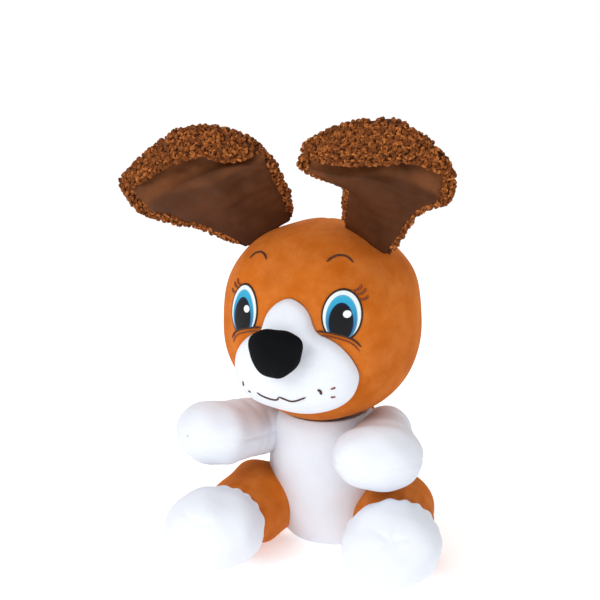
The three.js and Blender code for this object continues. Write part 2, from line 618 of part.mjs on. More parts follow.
for (const [name, side] of [["left", 1], ["right", -1]]) {
  piece(`arm_${name}_cover`, armSolid(name, side, 0).subtract(armSolid(name, side, PLUSH, 12)
    .add(discAlong(mirrorSide(SHOULDER, side), vector(PAW[name]), -40, 0, 3, 8))), WHITE);
  piece(`arm_${name}_filling`, armSolid(name, side, PLUSH + GAP, 12), FIBRE);

  const from = mirrorSide(HIP, side);
  const to = mirrorSide(FOOT, side);
  const length = from.distanceTo(to);
  const seamAt = length - FOOT.seam;
  const shell = legSolid(side, 0).intersect(aboveFloor).subtract(
    legSolid(side, PLUSH, 14).intersect(aboveFloor.translate([0, 0, PLUSH])),
  );
  piece(`foot_${name}_cover`, shell.intersect(beyond(from, to, seamAt + GAP / 2)), WHITE);
  piece(`thigh_${name}_cover`, shell.subtract(beyond(from, to, seamAt - GAP / 2)), TAN);

  const capFront = length + FOOT.reach - PLUSH - 4;
  const baseFar = capFront - BUTTON.travel - 1;
  const baseNear = baseFar - BUTTON.height;
  const cupRadius = BUTTON.radius - BUTTON.wall;
  const room = discAlong(from, to, baseNear - GAP, capFront + 40, BUTTON.radius + GAP);
  const fibre = legSolid(side, PLUSH + GAP, 14).intersect(aboveFloor.translate([0, 0, PLUSH + GAP]));
  piece(`leg_${name}_filling`, fibre.subtract(room), FIBRE);
  const cup = discAlong(from, to, baseNear, baseFar, BUTTON.radius)
    .subtract(discAlong(from, to, baseNear + BUTTON.wall, baseFar + 1, cupRadius));
  piece(`button_${name}_base`, cup, DARK_MOULDED);
  const cap = discAlong(from, to, capFront - BUTTON.capHeight, capFront, cupRadius - BUTTON.play);
  piece(`button_${name}_cap`, cap, MOULDED);
}

// ---- torso ------------------------------------------------------------------------------------------
/** The torso's half-width at shares of its height, as shares of its widest. */
const TORSO_OUTLINE = [
  [0, 0], [0.5, 0], [0.66, 0.02], [0.78, 0.09], [0.89, 0.21], [0.97, 0.36], [1, 0.51],
  [0.98, 0.63], [0.92, 0.75], [0.82, 0.86], [0.64, 0.94], [0.36, 0.99], [0, 1],
];

/** The torso's egg, with its surface moved inwards by an amount. */
function torsoSolid(inwards, around) {
  const width = TORSO.halfWidth - inwards;
  const height = TORSO.height - 2 * inwards;
  const profile = TORSO_OUTLINE.map(([r, z]) => new THREE.Vector2(r * width, inwards + z * height));
  const egg = new THREE.LatheGeometry(profile, around).rotateX(Math.PI / 2);
  egg.scale(1, (TORSO.halfWidth * TORSO.depthShare - inwards) / width, 1);
  return solid(shaped(egg, (p) => (p.y += TORSO.lean * (Math.max(p.z, 0) / TORSO.height) ** 1.5)));
}

const limbRoom = ["left", "right"]
  .map((name, i) => {
    const side = i === 0 ? 1 : -1;
    return armSolid(name, side, -LIMB_GAP, 14).add(legSolid(side, -LIMB_GAP, 16));
  })
  .reduce((a, b) => a.add(b));
const headRoom = headSolid(NECK_GAP, false, ...FACETS.headInside)
  .rotate([0, 0, HEAD.turn])
  .translate([HEAD.x, HEAD.y, HEAD.z]);
const torsoRoom = limbRoom.add(headRoom);
const far = 200;
const torsoShell = torsoSolid(0, 24).subtract(torsoSolid(PLUSH, 18)).subtract(torsoRoom);
const flapBlock = (grow) => {
  const half = FLAP.halfWidth + grow;
  return block(-half, TORSO.seam + 6, FLAP.low - grow, half, far, FLAP.high + grow);
};
const frontHalf = block(-far, -far, -far, far, TORSO.seam - GAP / 2, far);
const backHalf = block(-far, TORSO.seam + GAP / 2, -far, far, far, far);
piece("torso_front_cover", largest(torsoShell.intersect(frontHalf)), WHITE);

const tailStart = new THREE.Vector3(0, TAIL.y, TAIL.z);
const tailCurve = new THREE.QuadraticBezierCurve3(
  tailStart,
  new THREE.Vector3(0, TAIL.y + TAIL.back, TAIL.z + 2),
  new THREE.Vector3(0, TAIL.y + TAIL.back, TAIL.z + TAIL.up),
);
const tailShape = shaped(unitSphere(12, 10), (p) => {
  const along01 = (p.z + 1) / 2;
  const at = tailCurve.getPoint(along01);
  const direction = tailCurve.getTangent(along01);
  const radius = THREE.MathUtils.lerp(TAIL.radius, TAIL.tip, along01);
  const ring = Math.hypot(p.x, p.y) || 1e-9;
  const round = radius * Math.min(1, ring * 1.25);
  const up = new THREE.Vector3(0, direction.z, -direction.y);
  const sideways = p.x / ring;
  const upwards = p.y / ring;
  if (ring < 1e-6) p.copy(at);
  else p.copy(at).add(new THREE.Vector3(sideways * round, 0, 0)).addScaledVector(up, upwards * round);
});
const tail = solid(tailShape).subtract(torsoSolid(-GAP, 24));
piece("tail_cover", largest(tail), TAN);

const flap = torsoShell.intersect(flapBlock(0));
piece("torso_back_cover", largest(torsoShell.intersect(backHalf).subtract(flapBlock(GAP))), TAN);
piece("closure_flap", largest(flap), TAN);

// ---- battery box, sound unit and switch in the back of the torso --------------------------------------
const box = {
  x: (CELL.count * 2 * CELL.radius) / 2 + BOX.play + BOX.wall,
  y0: BOX.front,
  y1: BOX.front + BOX.wall + 2 * CELL.radius + BOX.play,
  z0: BOX.low,
  z1: BOX.low + BOX.wall + CELL.length + 2 * BOX.play + BOX.top,
};
const cellTop = box.z1 - BOX.top;
const boxInside = block(
  -box.x + BOX.wall, box.y0 + BOX.wall, box.z0 + BOX.wall,
  box.x - BOX.wall, box.y1 + 1, cellTop,
);
const screwZ = cellTop + BOX.top / 2;
const switchLow = screwZ - SWITCH.height / 2;
const switchPocket = block(
  SWITCH.x - SWITCH.width / 2 - SWITCH.travel / 2 - BOX.play, box.y1 - SWITCH.depth - GAP, switchLow - GAP,
  SWITCH.x + SWITCH.width / 2 + SWITCH.travel / 2 + BOX.play, box.y1 + 1, switchLow + SWITCH.height + GAP,
);
const screwHole = rodY(box.y1 - 8, box.y1 + 10, 0, screwZ, 1.3 + GAP, 16);
const boxShell = block(-box.x, box.y0, box.z0, box.x, box.y1, box.z1);
piece("battery_box", boxShell.subtract(boxInside).subtract(switchPocket).subtract(screwHole), DARK_MOULDED);
const lidY = box.y1 + GAP;
const lidPlate = block(-box.x, lidY, box.z0, box.x, lidY + BOX.lid, cellTop - 1)
  .add(block(-5, lidY, cellTop - 3, 5, lidY + BOX.lid, box.z1));
piece("battery_lid", lidPlate.subtract(screwHole), DARK_MOULDED);
const screwShank = rodY(box.y1 - 7, lidY + BOX.lid + 0.5, 0, screwZ, 1.3, 12);
const screwCap = rodY(lidY + BOX.lid + GAP, lidY + BOX.lid + GAP + 1.4, 0, screwZ, 2.6, 16);
piece("lid_screw", screwShank.add(screwCap), STEEL);
for (let i = 0; i < CELL.count; i++) {
  const x = (i - (CELL.count - 1) / 2) * 2 * (CELL.radius + 0.12);
  const y = box.y0 + BOX.wall + CELL.radius + BOX.play / 2;
  const can = new THREE.CylinderGeometry(CELL.radius - 0.1, CELL.radius - 0.1, CELL.length, 20);
  const flip = i % 2 ? -1 : 1;
  const centre = (box.z0 + BOX.wall + cellTop) / 2;
  const made = solid(can.rotateX(flip * (Math.PI / 2)).translate(x, y, centre));
  piece(`aa_cell_${i + 1}`, made, DARK_MOULDED);
}
const knob = block(
  SWITCH.x - SWITCH.width / 2 - SWITCH.travel / 2, box.y1 - SWITCH.depth, switchLow,
  SWITCH.x + SWITCH.width / 2 - SWITCH.travel / 2, box.y1 + SWITCH.proud, switchLow + SWITCH.height,
);
piece("power_switch", knob, MOULDED);

const speaker = rodY(box.y0 - GAP - SPEAKER.thickness, box.y0 - GAP, 0, SPEAKER.z, SPEAKER.radius, 28);
piece("speaker", speaker, DARK_MOULDED);
const boardHalf = SOUND_BOARD.width / 2;
const boardBack = box.y0 - GAP;
const board = block(
  -boardHalf, boardBack - SOUND_BOARD.thickness, SOUND_BOARD.z - SOUND_BOARD.height / 2 + 1,
  boardHalf, boardBack, SOUND_BOARD.z + SOUND_BOARD.height / 2 + 1,
);
piece("sound_board", board, BOARD);

const boxRoom = block(-box.x - GAP, box.y0 - GAP - SPEAKER.thickness - GAP, box.z0 - GAP - 12,
  box.x + GAP, far, box.z1 + GAP);
const flapHalf = FLAP.halfWidth + 1;
const flapRoom = block(-flapHalf, TORSO.seam, FLAP.high - 14, flapHalf, far, FLAP.high + GAP);
const torsoFibre = torsoSolid(PLUSH + GAP, 18).subtract(torsoRoom).subtract(boxRoom).subtract(flapRoom);
piece("torso_filling", largest(torsoFibre), FIBRE);

export default part;
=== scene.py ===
"""Looks of the plush puppy with lifting ears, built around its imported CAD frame.

Sizes are in millimetres and are turned into metres when a mesh is made. The puppy sits on the
floor at the origin, faces -Y, and its own left is +X.
"""

from __future__ import annotations

import json
import logging
import math
from dataclasses import dataclass, field
from enum import Enum

import bmesh
import bpy
import numpy as np
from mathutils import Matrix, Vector

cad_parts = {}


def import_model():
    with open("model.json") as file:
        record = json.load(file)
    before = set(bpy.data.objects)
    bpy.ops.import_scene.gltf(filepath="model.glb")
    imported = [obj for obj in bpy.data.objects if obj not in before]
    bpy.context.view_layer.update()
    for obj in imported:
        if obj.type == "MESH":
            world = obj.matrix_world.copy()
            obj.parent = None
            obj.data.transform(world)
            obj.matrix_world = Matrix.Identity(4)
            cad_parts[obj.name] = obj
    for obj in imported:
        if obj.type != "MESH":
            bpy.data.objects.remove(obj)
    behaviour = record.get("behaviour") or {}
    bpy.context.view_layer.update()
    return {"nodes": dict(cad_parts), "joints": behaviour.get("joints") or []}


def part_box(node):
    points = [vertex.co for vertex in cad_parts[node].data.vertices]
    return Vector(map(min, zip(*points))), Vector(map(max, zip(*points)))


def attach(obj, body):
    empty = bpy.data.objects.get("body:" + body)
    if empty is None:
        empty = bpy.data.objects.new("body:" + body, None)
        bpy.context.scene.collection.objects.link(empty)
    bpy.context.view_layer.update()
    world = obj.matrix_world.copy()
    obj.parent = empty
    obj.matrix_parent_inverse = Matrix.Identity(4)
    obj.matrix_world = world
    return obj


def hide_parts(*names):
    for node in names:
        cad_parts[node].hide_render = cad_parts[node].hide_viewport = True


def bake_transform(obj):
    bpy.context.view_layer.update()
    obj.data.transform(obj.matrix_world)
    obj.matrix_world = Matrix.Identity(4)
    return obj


MM = 0.001
log = logging.getLogger("puppy")


class Side(Enum):
    """The puppy's own left or right."""

    LEFT = 1
    RIGHT = -1

    @property
    def word(self) -> str:
        """The side's name as the CAD nodes spell it."""
        return self.name.lower()


class Slot(Enum):
    """The record's finishes."""

    TAN = "tan_plush"
    WHITE = "white_plush"
    BLACK = "black_plush"
    CURLY = "curly_plush"
    SATIN = "satin"
    EYE = "eye_thread"
    THREAD = "dark_thread"


# ---- curves and grids --------------------------------------------------------------------------
def spline_weights(count: int, at: np.ndarray) -> np.ndarray:
    """Weights of a Catmull-Rom curve: each place takes its four nearest knots.

    Args:
        count: number of knots, spaced evenly from 0 to 1.
        at: places from 0 to 1.

    Returns:
        A matrix of places by knots, which times the knots gives the points.
    """
    where = np.clip(at, 0, 1) * (count - 1)
    first = np.minimum(where.astype(int), count - 2)
    t = where - first
    parts = [
        -t / 2 + t**2 - t**3 / 2,
        1 - 5 * t**2 / 2 + 3 * t**3 / 2,
        t / 2 + 2 * t**2 - 3 * t**3 / 2,
        -(t**2) / 2 + t**3 / 2,
    ]
    weights = np.zeros((len(at), count + 2))
    rows = np.arange(len(at))
    for shift, part in enumerate(parts):
        np.add.at(weights, (rows, first + shift), part)
    inner = weights[:, 1:-1].copy()
    inner[:, 0] += 2 * weights[:, 0]
    inner[:, 1] -= weights[:, 0]
    inner[:, -1] += 2 * weights[:, -1]
    inner[:, -2] -= weights[:, -1]
    return inner


def spline(knots: np.ndarray, count: int) -> np.ndarray:
    """A smooth curve of `count` points through the knots."""
    knots = np.asarray(knots, float)
    return spline_weights(len(knots), np.linspace(0, 1, count)) @ knots


def smooth_step(low: float, high: float, value: np.ndarray) -> np.ndarray:
    """0 below `low`, 1 above `high`, and a smooth rise between them."""
    t = np.clip((value - low) / (high - low), 0, 1)
    return t * t * (3 - 2 * t)


def unit(vectors: np.ndarray) -> np.ndarray:
    """The vectors, each scaled to a length of 1."""
    return vectors / np.maximum(np.linalg.norm(vectors, axis=-1, keepdims=True), 1e-9)


def grid_quads(rows: int, columns: int, wraps: bool) -> np.ndarray:
    """Quads of a grid whose points are stored row by row.

    Args:
        rows: number of rows.
        columns: number of points in a row.
        wraps: whether the last column joins the first.

    Returns:
        One row of four point numbers for each quad.
    """
    i = np.arange(rows - 1)[:, None]
    j = np.arange(columns if wraps else columns - 1)[None, :]
    near, next_one = i * columns + j, i * columns + (j + 1) % columns
    return np.stack([near, next_one, next_one + columns, near + columns], -1).reshape(-1, 4)


@dataclass(frozen=True)
class Lumps:
    """Unevenness of stuffing: a sum of long waves, their directions drawn once from a seed."""

    height: float
    length: float
    seed: int
    waves: int = 16

    def at(self, points: np.ndarray) -> np.ndarray:
        """Height of the unevenness at each point, in millimetres."""
        draw = np.random.default_rng(self.seed)
        ways = unit(draw.normal(size=(self.waves, 3)))
        ways = ways * (2 * math.pi / self.length) * draw.uniform(0.6, 1.7, (self.waves, 1))
        phases = draw.uniform(0, 2 * math.pi, self.waves)
        waves = np.sin(points @ ways.T + phases)
        return self.height * waves.sum(-1) / math.sqrt(self.waves)


# ---- meshes ------------------------------------------------------------------------------------
class Maker:
    """Turns arrays of points and faces into Blender objects in metres."""

    @staticmethod
    def flow(points: np.ndarray, faces: list, inside: np.ndarray | None) -> float:
        """How far the faces look away from a point: the sum of each area's share away from it."""
        middle = points.mean(0) if inside is None else np.asarray(inside, float)
        total = 0.0
        for block in faces:
            corners = points[np.asarray(block)] - middle
            for last in range(2, corners.shape[1]):
                turned = np.cross(corners[:, last - 1], corners[:, last])
                total += float(np.einsum("ij,ij->", corners[:, 0], turned))
        return total

    @classmethod
    def mesh(
        cls,
        name: str,
        points: np.ndarray,
        faces: list,
        uv: np.ndarray | None = None,
        tint: np.ndarray | None = None,
        inside: np.ndarray | None = None,
    ) -> bpy.types.Object:
        """An object with its place in its mesh and its faces outward.

        Args:
            name: the piece's name.
            points: its points, in millimetres.
            faces: arrays or lists of faces, each a row of point numbers.
            uv: a pair for each point.
            tint: a number for each point, kept as an attribute.
            inside: a point that the faces turn away from, or None for the middle of the points.

        Returns:
            The new object, smooth shaded.
        """
        data = bpy.data.meshes.new(name)
        if cls.flow(points.reshape(-1, 3), faces, inside) < 0:
            faces = [np.asarray(block)[:, ::-1] for block in faces]
        listed = [face for block in faces for face in np.asarray(block).tolist()]
        data.from_pydata((points.reshape(-1, 3) * MM).tolist(), [], listed)
        data.polygons.foreach_set("use_smooth", np.ones(len(data.polygons), bool))
        if uv is not None:
            corners = np.zeros(len(data.loops), np.int32)
            data.loops.foreach_get("vertex_index", corners)
            layer = data.uv_layers.new(name="UVMap")
            layer.data.foreach_set("uv", uv.reshape(-1, 2)[corners].astype(np.float32).ravel())
        if tint is not None:
            layer = data.attributes.new("tint", "FLOAT", "POINT")
            layer.data.foreach_set("value", tint.astype(np.float32).ravel())
        data.update()
        made = bpy.data.objects.new(name, data)
        bpy.context.scene.collection.objects.link(made)
        return made

    @classmethod
    def tube(
        cls,
        name: str,
        rings: np.ndarray,
        uv: np.ndarray | None = None,
    ) -> bpy.types.Object:
        """A closed skin of rings, with a point at each end.

        Args:
            name: the piece's name.
            rings: rings by points round a ring by 3.
            uv: a pair for each ring point.

        Returns:
            The new object.
        """
        rows, columns = rings.shape[:2]
        points = np.concatenate([rings.reshape(-1, 3), rings[:1].mean(1), rings[-1:].mean(1)])
        j = np.arange(columns)
        start = np.stack([np.full(columns, rows * columns), (j + 1) % columns, j], 1)
        last = (rows - 1) * columns
        end = np.stack(
            [np.full(columns, rows * columns + 1), last + j, last + (j + 1) % columns], 1
        )
        faces = [grid_quads(rows, columns, True), start, end]
        if uv is not None:
            uv = np.concatenate([uv.reshape(-1, 2), uv[:1].mean(1), uv[-1:].mean(1)])
        return cls.mesh(name, points, faces, uv)

    @staticmethod
    def wall(made: bpy.types.Object, thickness: float) -> bpy.types.Object:
        """Gives a skin a wall of that thickness, in millimetres, on its inner side."""
        solid = made.modifiers.new("wall", "SOLIDIFY")
        solid.thickness = thickness * MM
        solid.offset = -1
        return made

    @staticmethod
    def finer(made: bpy.types.Object, levels: int = 1) -> bpy.types.Object:
        """Smooths a piece with a subdivision surface."""
        modifier = made.modifiers.new("finer", "SUBSURF")
        modifier.levels = levels
        modifier.render_levels = levels
        return made


# ---- shaders -----------------------------------------------------------------------------------
def linear(*colour: int) -> tuple[float, float, float, float]:
    """A colour of 0 to 255 a channel as linear light, with an alpha of 1."""
    shares = [c / 255 for c in colour]
    light = [c / 12.92 if c <= 0.04045 else ((c + 0.055) / 1.055) ** 2.4 for c in shares]
    return (*light, 1.0)


class Wire:
    """A shader value that sums are written with."""

    def __init__(self, shader: "Shader", socket: bpy.types.NodeSocket) -> None:
        """Holds a node's output and the shader that it belongs to."""
        self.shader = shader
        self.socket = socket

    def maths(self, operation: str, *others: "Wire | float") -> "Wire":
        """A Math node on this value and the others, in that order."""
        settings = {"operation": operation}
        return self.shader.node("ShaderNodeMath", settings, dict(enumerate((self, *others))))

    def __add__(self, other: "Wire | float") -> "Wire":
        """Sum."""
        return self.maths("ADD", other)

    __radd__ = __add__

    def __sub__(self, other: "Wire | float") -> "Wire":
        """Difference."""
        return self.maths("SUBTRACT", other)

    def __rsub__(self, other: float) -> "Wire":
        """Difference from a number."""
        return self.maths("MULTIPLY", -1.0).maths("ADD", other)

    def __mul__(self, other: "Wire | float") -> "Wire":
        """Product."""
        return self.maths("MULTIPLY", other)

    __rmul__ = __mul__

    def __truediv__(self, other: "Wire | float") -> "Wire":
        """Quotient."""
        return self.maths("DIVIDE", other)

    def __pow__(self, other: float) -> "Wire":
        """Power."""
        return self.maths("POWER", other)

    def rise(self, low: float, high: float) -> "Wire":
        """0 below `low`, 1 above `high`, and a smooth rise between them."""
        settings = {"interpolation_type": "SMOOTHSTEP"}
        values = {"Value": self, "From Min": low, "From Max": high}
        return self.shader.node("ShaderNodeMapRange", settings, values)


class Shader:
    """One material and the nodes that it is made of."""

    def __init__(self, name: str) -> None:
        """Starts a material with a Principled surface."""
        self.material = bpy.data.materials.new(name)
        self.material.use_nodes = True
        self.tree = self.material.node_tree
        self.surface = self.tree.nodes["Principled BSDF"]

    def node(
        self,
        kind: str,
        settings: dict | None = None,
        values: dict | None = None,
        output: str | int = 0,
    ) -> Wire:
        """Adds a node: its settings first, then the values or links of its sockets.

        Args:
            kind: the node's type.
            settings: its properties.
            values: socket name, number or identifier, and a Wire or a constant for each.
            output: the output that is given back.

        Returns:
            That output.
        """
        made = self.tree.nodes.new(kind)
        for key, value in (settings or {}).items():
            setattr(made, key, value)
        for key, value in (values or {}).items():
            self.feed(made, key, value)
        if isinstance(output, str):
            found = [o for o in made.outputs if output in (o.identifier, o.name)]
            return Wire(self, found[0])
        return Wire(self, made.outputs[output])

    def feed(self, node: bpy.types.Node, key: str | int, value: object) -> None:
        """Sets one input of a node, or links it."""
        if isinstance(key, int):
            socket = node.inputs[key]
        else:
            exact = [i for i in node.inputs if i.identifier == key]
            socket = (exact or [i for i in node.inputs if i.name == key])[0]
        if isinstance(value, Wire):
            self.tree.links.new(value.socket, socket)
        else:
            socket.default_value = value

    def set(self, **values: object) -> None:
        """Sets or links the surface's inputs, with underscores for spaces in their names."""
        for key, value in values.items():
            self.feed(self.surface, key.replace("_", " "), value)

    def where(self) -> Wire:
        """The place on the object, in metres."""
        return self.node("ShaderNodeTexCoord", output="Object")

    def noise(self, scale: float, detail: float = 2.0, rough: float = 0.5, at: Wire | None = None) -> Wire:
        """Cloudy noise from 0 to 1, `scale` of its patches to the metre."""
        values = {"Vector": at or self.where(), "Scale": scale, "Detail": detail, "Roughness": rough}
        return self.node("ShaderNodeTexNoise", None, values)

    def mix(self, share: Wire | float, first: object, second: object) -> Wire:
        """A colour between two colours."""
        values = {"Factor_Float": share, "A_Color": first, "B_Color": second}
        return self.node("ShaderNodeMix", {"data_type": "RGBA"}, values, "Result_Color")

    def bump(self, height: Wire, depth: float, strength: float = 1.0) -> Wire:
        """A normal that follows a height, `depth` in millimetres."""
        values = {"Height": height, "Distance": depth * MM, "Strength": strength}
        return self.node("ShaderNodeBump", None, values)


@dataclass(frozen=True)
class Plush:
    """Short brushed pile: cloudy brushing marks, a fine nap and a soft sheen at the edges."""

    name: str
    colour: tuple
    dark: tuple
    light: tuple
    sheen: float = 0.3
    clouds: float = 20.0
    contrast: float = 0.6
    nap: float = 0.4

    def material(self) -> bpy.types.Material:
        """Builds the finish."""
        s = Shader(self.name)
        clouds = s.noise(self.clouds, 3.0, 0.55).rise(0.3, 0.7)
        brushing = s.noise(self.clouds * 3.5, 3.0, 0.6).rise(0.3, 0.75)
        pile = s.noise(900.0, 2.0, 0.7)
        base = s.mix(clouds * self.contrast, linear(*self.colour), linear(*self.dark))
        base = s.mix(brushing * (self.contrast * 0.5), base, linear(*self.light))
        base = s.mix(pile.rise(0.35, 0.7) * 0.12, base, linear(*self.dark))
        tufts = s.noise(330.0, 3.0, 0.6)
        s.set(
            Base_Color=base,
            Roughness=0.92,
            Specular_IOR_Level=0.12,
            Sheen_Weight=self.sheen,
            Sheen_Roughness=0.45,
            Sheen_Tint=linear(*self.light),
            Normal=s.bump(pile * 0.35 + tufts * 0.65, self.nap, 0.8),
        )
        return s.material


@dataclass(frozen=True)
class Lambswool:
    """Curled pile: each curl has its own tone, and its tint also carries painted shade where it meets the
    cloth and a painted highlight on its crest.
    """

    name: str = "curly_lambswool"
    # dark, middle and light are the tones the tint mixes between, so they carry each curl's own tone and its
    # painted shade and highlight
    dark: tuple = (56, 25, 10)
    middle: tuple = (116, 61, 22)
    light: tuple = (182, 108, 50)

    def material(self) -> bpy.types.Material:
        """Builds the finish."""
        s = Shader(self.name)
        shade = s.node("ShaderNodeAttribute", {"attribute_name": "tint"}, output="Fac")
        fine = s.noise(700.0, 2.0, 0.6)
        patches = s.noise(60.0, 2.0, 0.5)
        # the tint attribute holds each curl's tone together with painted shade and a painted highlight
        amount = shade + (patches - 0.5) * 0.5 + (fine - 0.5) * 0.25
        low = s.mix(amount.rise(0.0, 0.5), linear(*self.dark), linear(*self.middle))
        base = s.mix(amount.rise(0.5, 1.0), low, linear(*self.light))
        s.set(
            Base_Color=base,
            Roughness=0.85,
            Specular_IOR_Level=0.2,
            Sheen_Weight=0.35,
            Sheen_Roughness=0.4,
            Sheen_Tint=linear(*self.light),
            Normal=s.bump(fine, 0.3, 0.6),
        )
        return s.material


@dataclass(frozen=True)
class Satin:
    """Smooth lining cloth: fine threads, soft folds, a low gloss and painted light from the piece's tint."""

    name: str = "ear_satin"
    # dark is the lining's colour in shade, light its painted lit colour, which the tint mixes towards
    dark: tuple = (56, 27, 9)
    light: tuple = (128, 76, 42)

    def material(self) -> bpy.types.Material:
        """Builds the finish; the piece's tint is painted light: it says how much a place catches the light.
        """
        s = Shader(self.name)
        clouds = s.noise(45.0, 3.0, 0.5).rise(0.3, 0.75)
        threads = s.noise(1500.0, 1.0, 0.5)
        painted_light = s.node("ShaderNodeAttribute", {"attribute_name": "tint"}, output="Fac")
        # painted light and shade: the tint lightens the lining where it faces the light and leaves it dark
        # where it is shaded
        base = s.mix(painted_light * 0.75 + clouds * 0.2, linear(*self.dark), linear(*self.light))
        base = s.mix(threads * 0.2, base, linear(*self.dark))
        s.set(
            Base_Color=base,
            Roughness=threads * 0.12 + 0.58,
            Specular_IOR_Level=0.14,
            Sheen_Weight=0.06,
            Sheen_Roughness=0.35,
            Sheen_Tint=linear(180, 115, 75),
            Normal=s.bump(threads * 0.2 + clouds * 0.8, 0.5, 0.5),
        )
        return s.material


@dataclass(frozen=True)
class Thread:
    """Embroidery thread: a low gloss and fine twisted strands."""

    name: str
    colour: tuple
    light: tuple

    def material(self) -> bpy.types.Material:
        """Builds the finish."""
        s = Shader(self.name)
        strands = s.noise(1300.0, 2.0, 0.6)
        s.set(
            Base_Color=s.mix(strands.rise(0.35, 0.7), linear(*self.colour), linear(*self.light)),
            Roughness=strands * 0.2 + 0.5,
            Specular_IOR_Level=0.3,
            Normal=s.bump(strands, 0.2, 0.7),
        )
        return s.material


@dataclass(frozen=True)
class EyeStitching:
    """Satin stitch of an eye: outline, white, shaded iris, pupil and glint.

    The map of the patch is in millimetres from the eye's middle, so the shapes are ellipses in it.
    """

    name: str = "eye_stitching"
    iris: tuple = (0.0, -2.2, 9.9, 16.2)
    pupil: tuple = (-0.2, -4.6, 7.7, 13.4)
    glint: tuple = (3.6, 1.0, 2.55, 2.55)
    outline: float = 0.085

    @staticmethod
    def oval(u: Wire, v: Wire, shape: tuple) -> Wire:
        """Distance from an ellipse's middle as a share of the way to its edge."""
        x, y, half_width, half_height = shape
        return (((u - x) / half_width) ** 2.0 + ((v - y) / half_height) ** 2.0) ** 0.5

    def material(self, half_width: float, half_height: float, side: Side) -> bpy.types.Material:
        """Builds the finish.

        Args:
            half_width: the eye's half width, in millimetres.
            half_height: its half height.
            side: which eye it is; it only names the material.

        Returns:
            The material.
        """
        s = Shader(f"{self.name}_{side.word}")
        place = s.node("ShaderNodeUVMap", {"uv_map": "UVMap"})
        split = {"Vector": place}
        u = s.node("ShaderNodeSeparateXYZ", None, split, "X")
        v = s.node("ShaderNodeSeparateXYZ", None, split, "Y")
        eye = self.oval(u, v, (0.0, 0.0, half_width, half_height))
        iris = self.oval(u, v, self.iris)
        pupil = self.oval(u, v, self.pupil)
        glint = self.oval(u, v, self.glint)
        stitches = s.node(
            "ShaderNodeTexWave",
            {"wave_type": "BANDS", "bands_direction": "Y"},
            {"Vector": place, "Scale": 0.9, "Distortion": 1.5, "Detail": 2.0, "Detail Scale": 3.0},
            "Fac",
        )
        height = v.rise(-12.0, 14.0)
        ring = s.mix(height, linear(52, 112, 162), linear(48, 176, 216))
        ring = s.mix((iris - 0.86).rise(0.0, 0.14) * 0.4, ring, linear(112, 178, 208))
        dark = s.mix((pupil - 0.8).rise(0.0, 0.2), linear(6, 7, 10), linear(2, 20, 62))
        colour = s.mix((iris - 1.0).rise(-0.02, 0.02), ring, linear(238, 246, 248))
        colour = s.mix((1.0 - pupil).rise(-0.02, 0.02), colour, dark)
        colour = s.mix((1.0 - glint).rise(-0.05, 0.05), colour, linear(250, 252, 255))
        rim = (eye - (1.0 - self.outline)).rise(-0.012, 0.012)
        colour = s.mix(rim, colour, linear(54, 32, 20))
        colour = s.mix(stitches * 0.14, colour, linear(20, 24, 34))
        s.set(
            Base_Color=colour,
            Roughness=0.5,
            Specular_IOR_Level=0.2,
            Coat_Weight=0.04,
            Normal=s.bump(stitches, 0.14, 0.6),
        )
        return s.material


@dataclass(frozen=True)
class Moulded:
    """Moulded plastic with a faint spark-eroded grain and slight scuffing."""

    name: str
    colour: tuple
    worn: tuple
    rough: float = 0.45
    metal: float = 0.0

    def material(self) -> bpy.types.Material:
        """Builds the finish."""
        s = Shader(self.name)
        grain = s.noise(1800.0, 2.0, 0.6)
        scuffs = s.noise(120.0, 5.0, 0.7).rise(0.55, 0.75)
        s.set(
            Base_Color=s.mix(scuffs * 0.4, linear(*self.colour), linear(*self.worn)),
            Metallic=self.metal,
            Roughness=grain * 0.12 + (scuffs * 0.15 + (self.rough - 0.06)),
            Normal=s.bump(grain, 0.05, 0.5),
        )
        return s.material


@dataclass(frozen=True)
class Cell:
    """A battery's printed sleeve with bare metal ends."""

    name: str = "cell_sleeve"

    def material(self) -> bpy.types.Material:
        """Builds the finish."""
        s = Shader(self.name)
        x = s.node("ShaderNodeSeparateXYZ", None, {"Vector": s.where()}, "X")
        band = x.maths("ABSOLUTE").rise(0.012, 0.0124)
        metal = x.maths("ABSOLUTE").rise(0.0236, 0.0238)
        scuffs = s.noise(300.0, 4.0, 0.6).rise(0.5, 0.8)
        colour = s.mix(band, linear(28, 30, 34), linear(176, 120, 60))
        colour = s.mix(metal, colour, linear(196, 198, 202))
        s.set(
            Base_Color=s.mix(scuffs * 0.25, colour, linear(150, 150, 150)),
            Metallic=metal * 0.9 + 0.05,
            Roughness=scuffs * 0.2 + 0.28,
        )
        return s.material


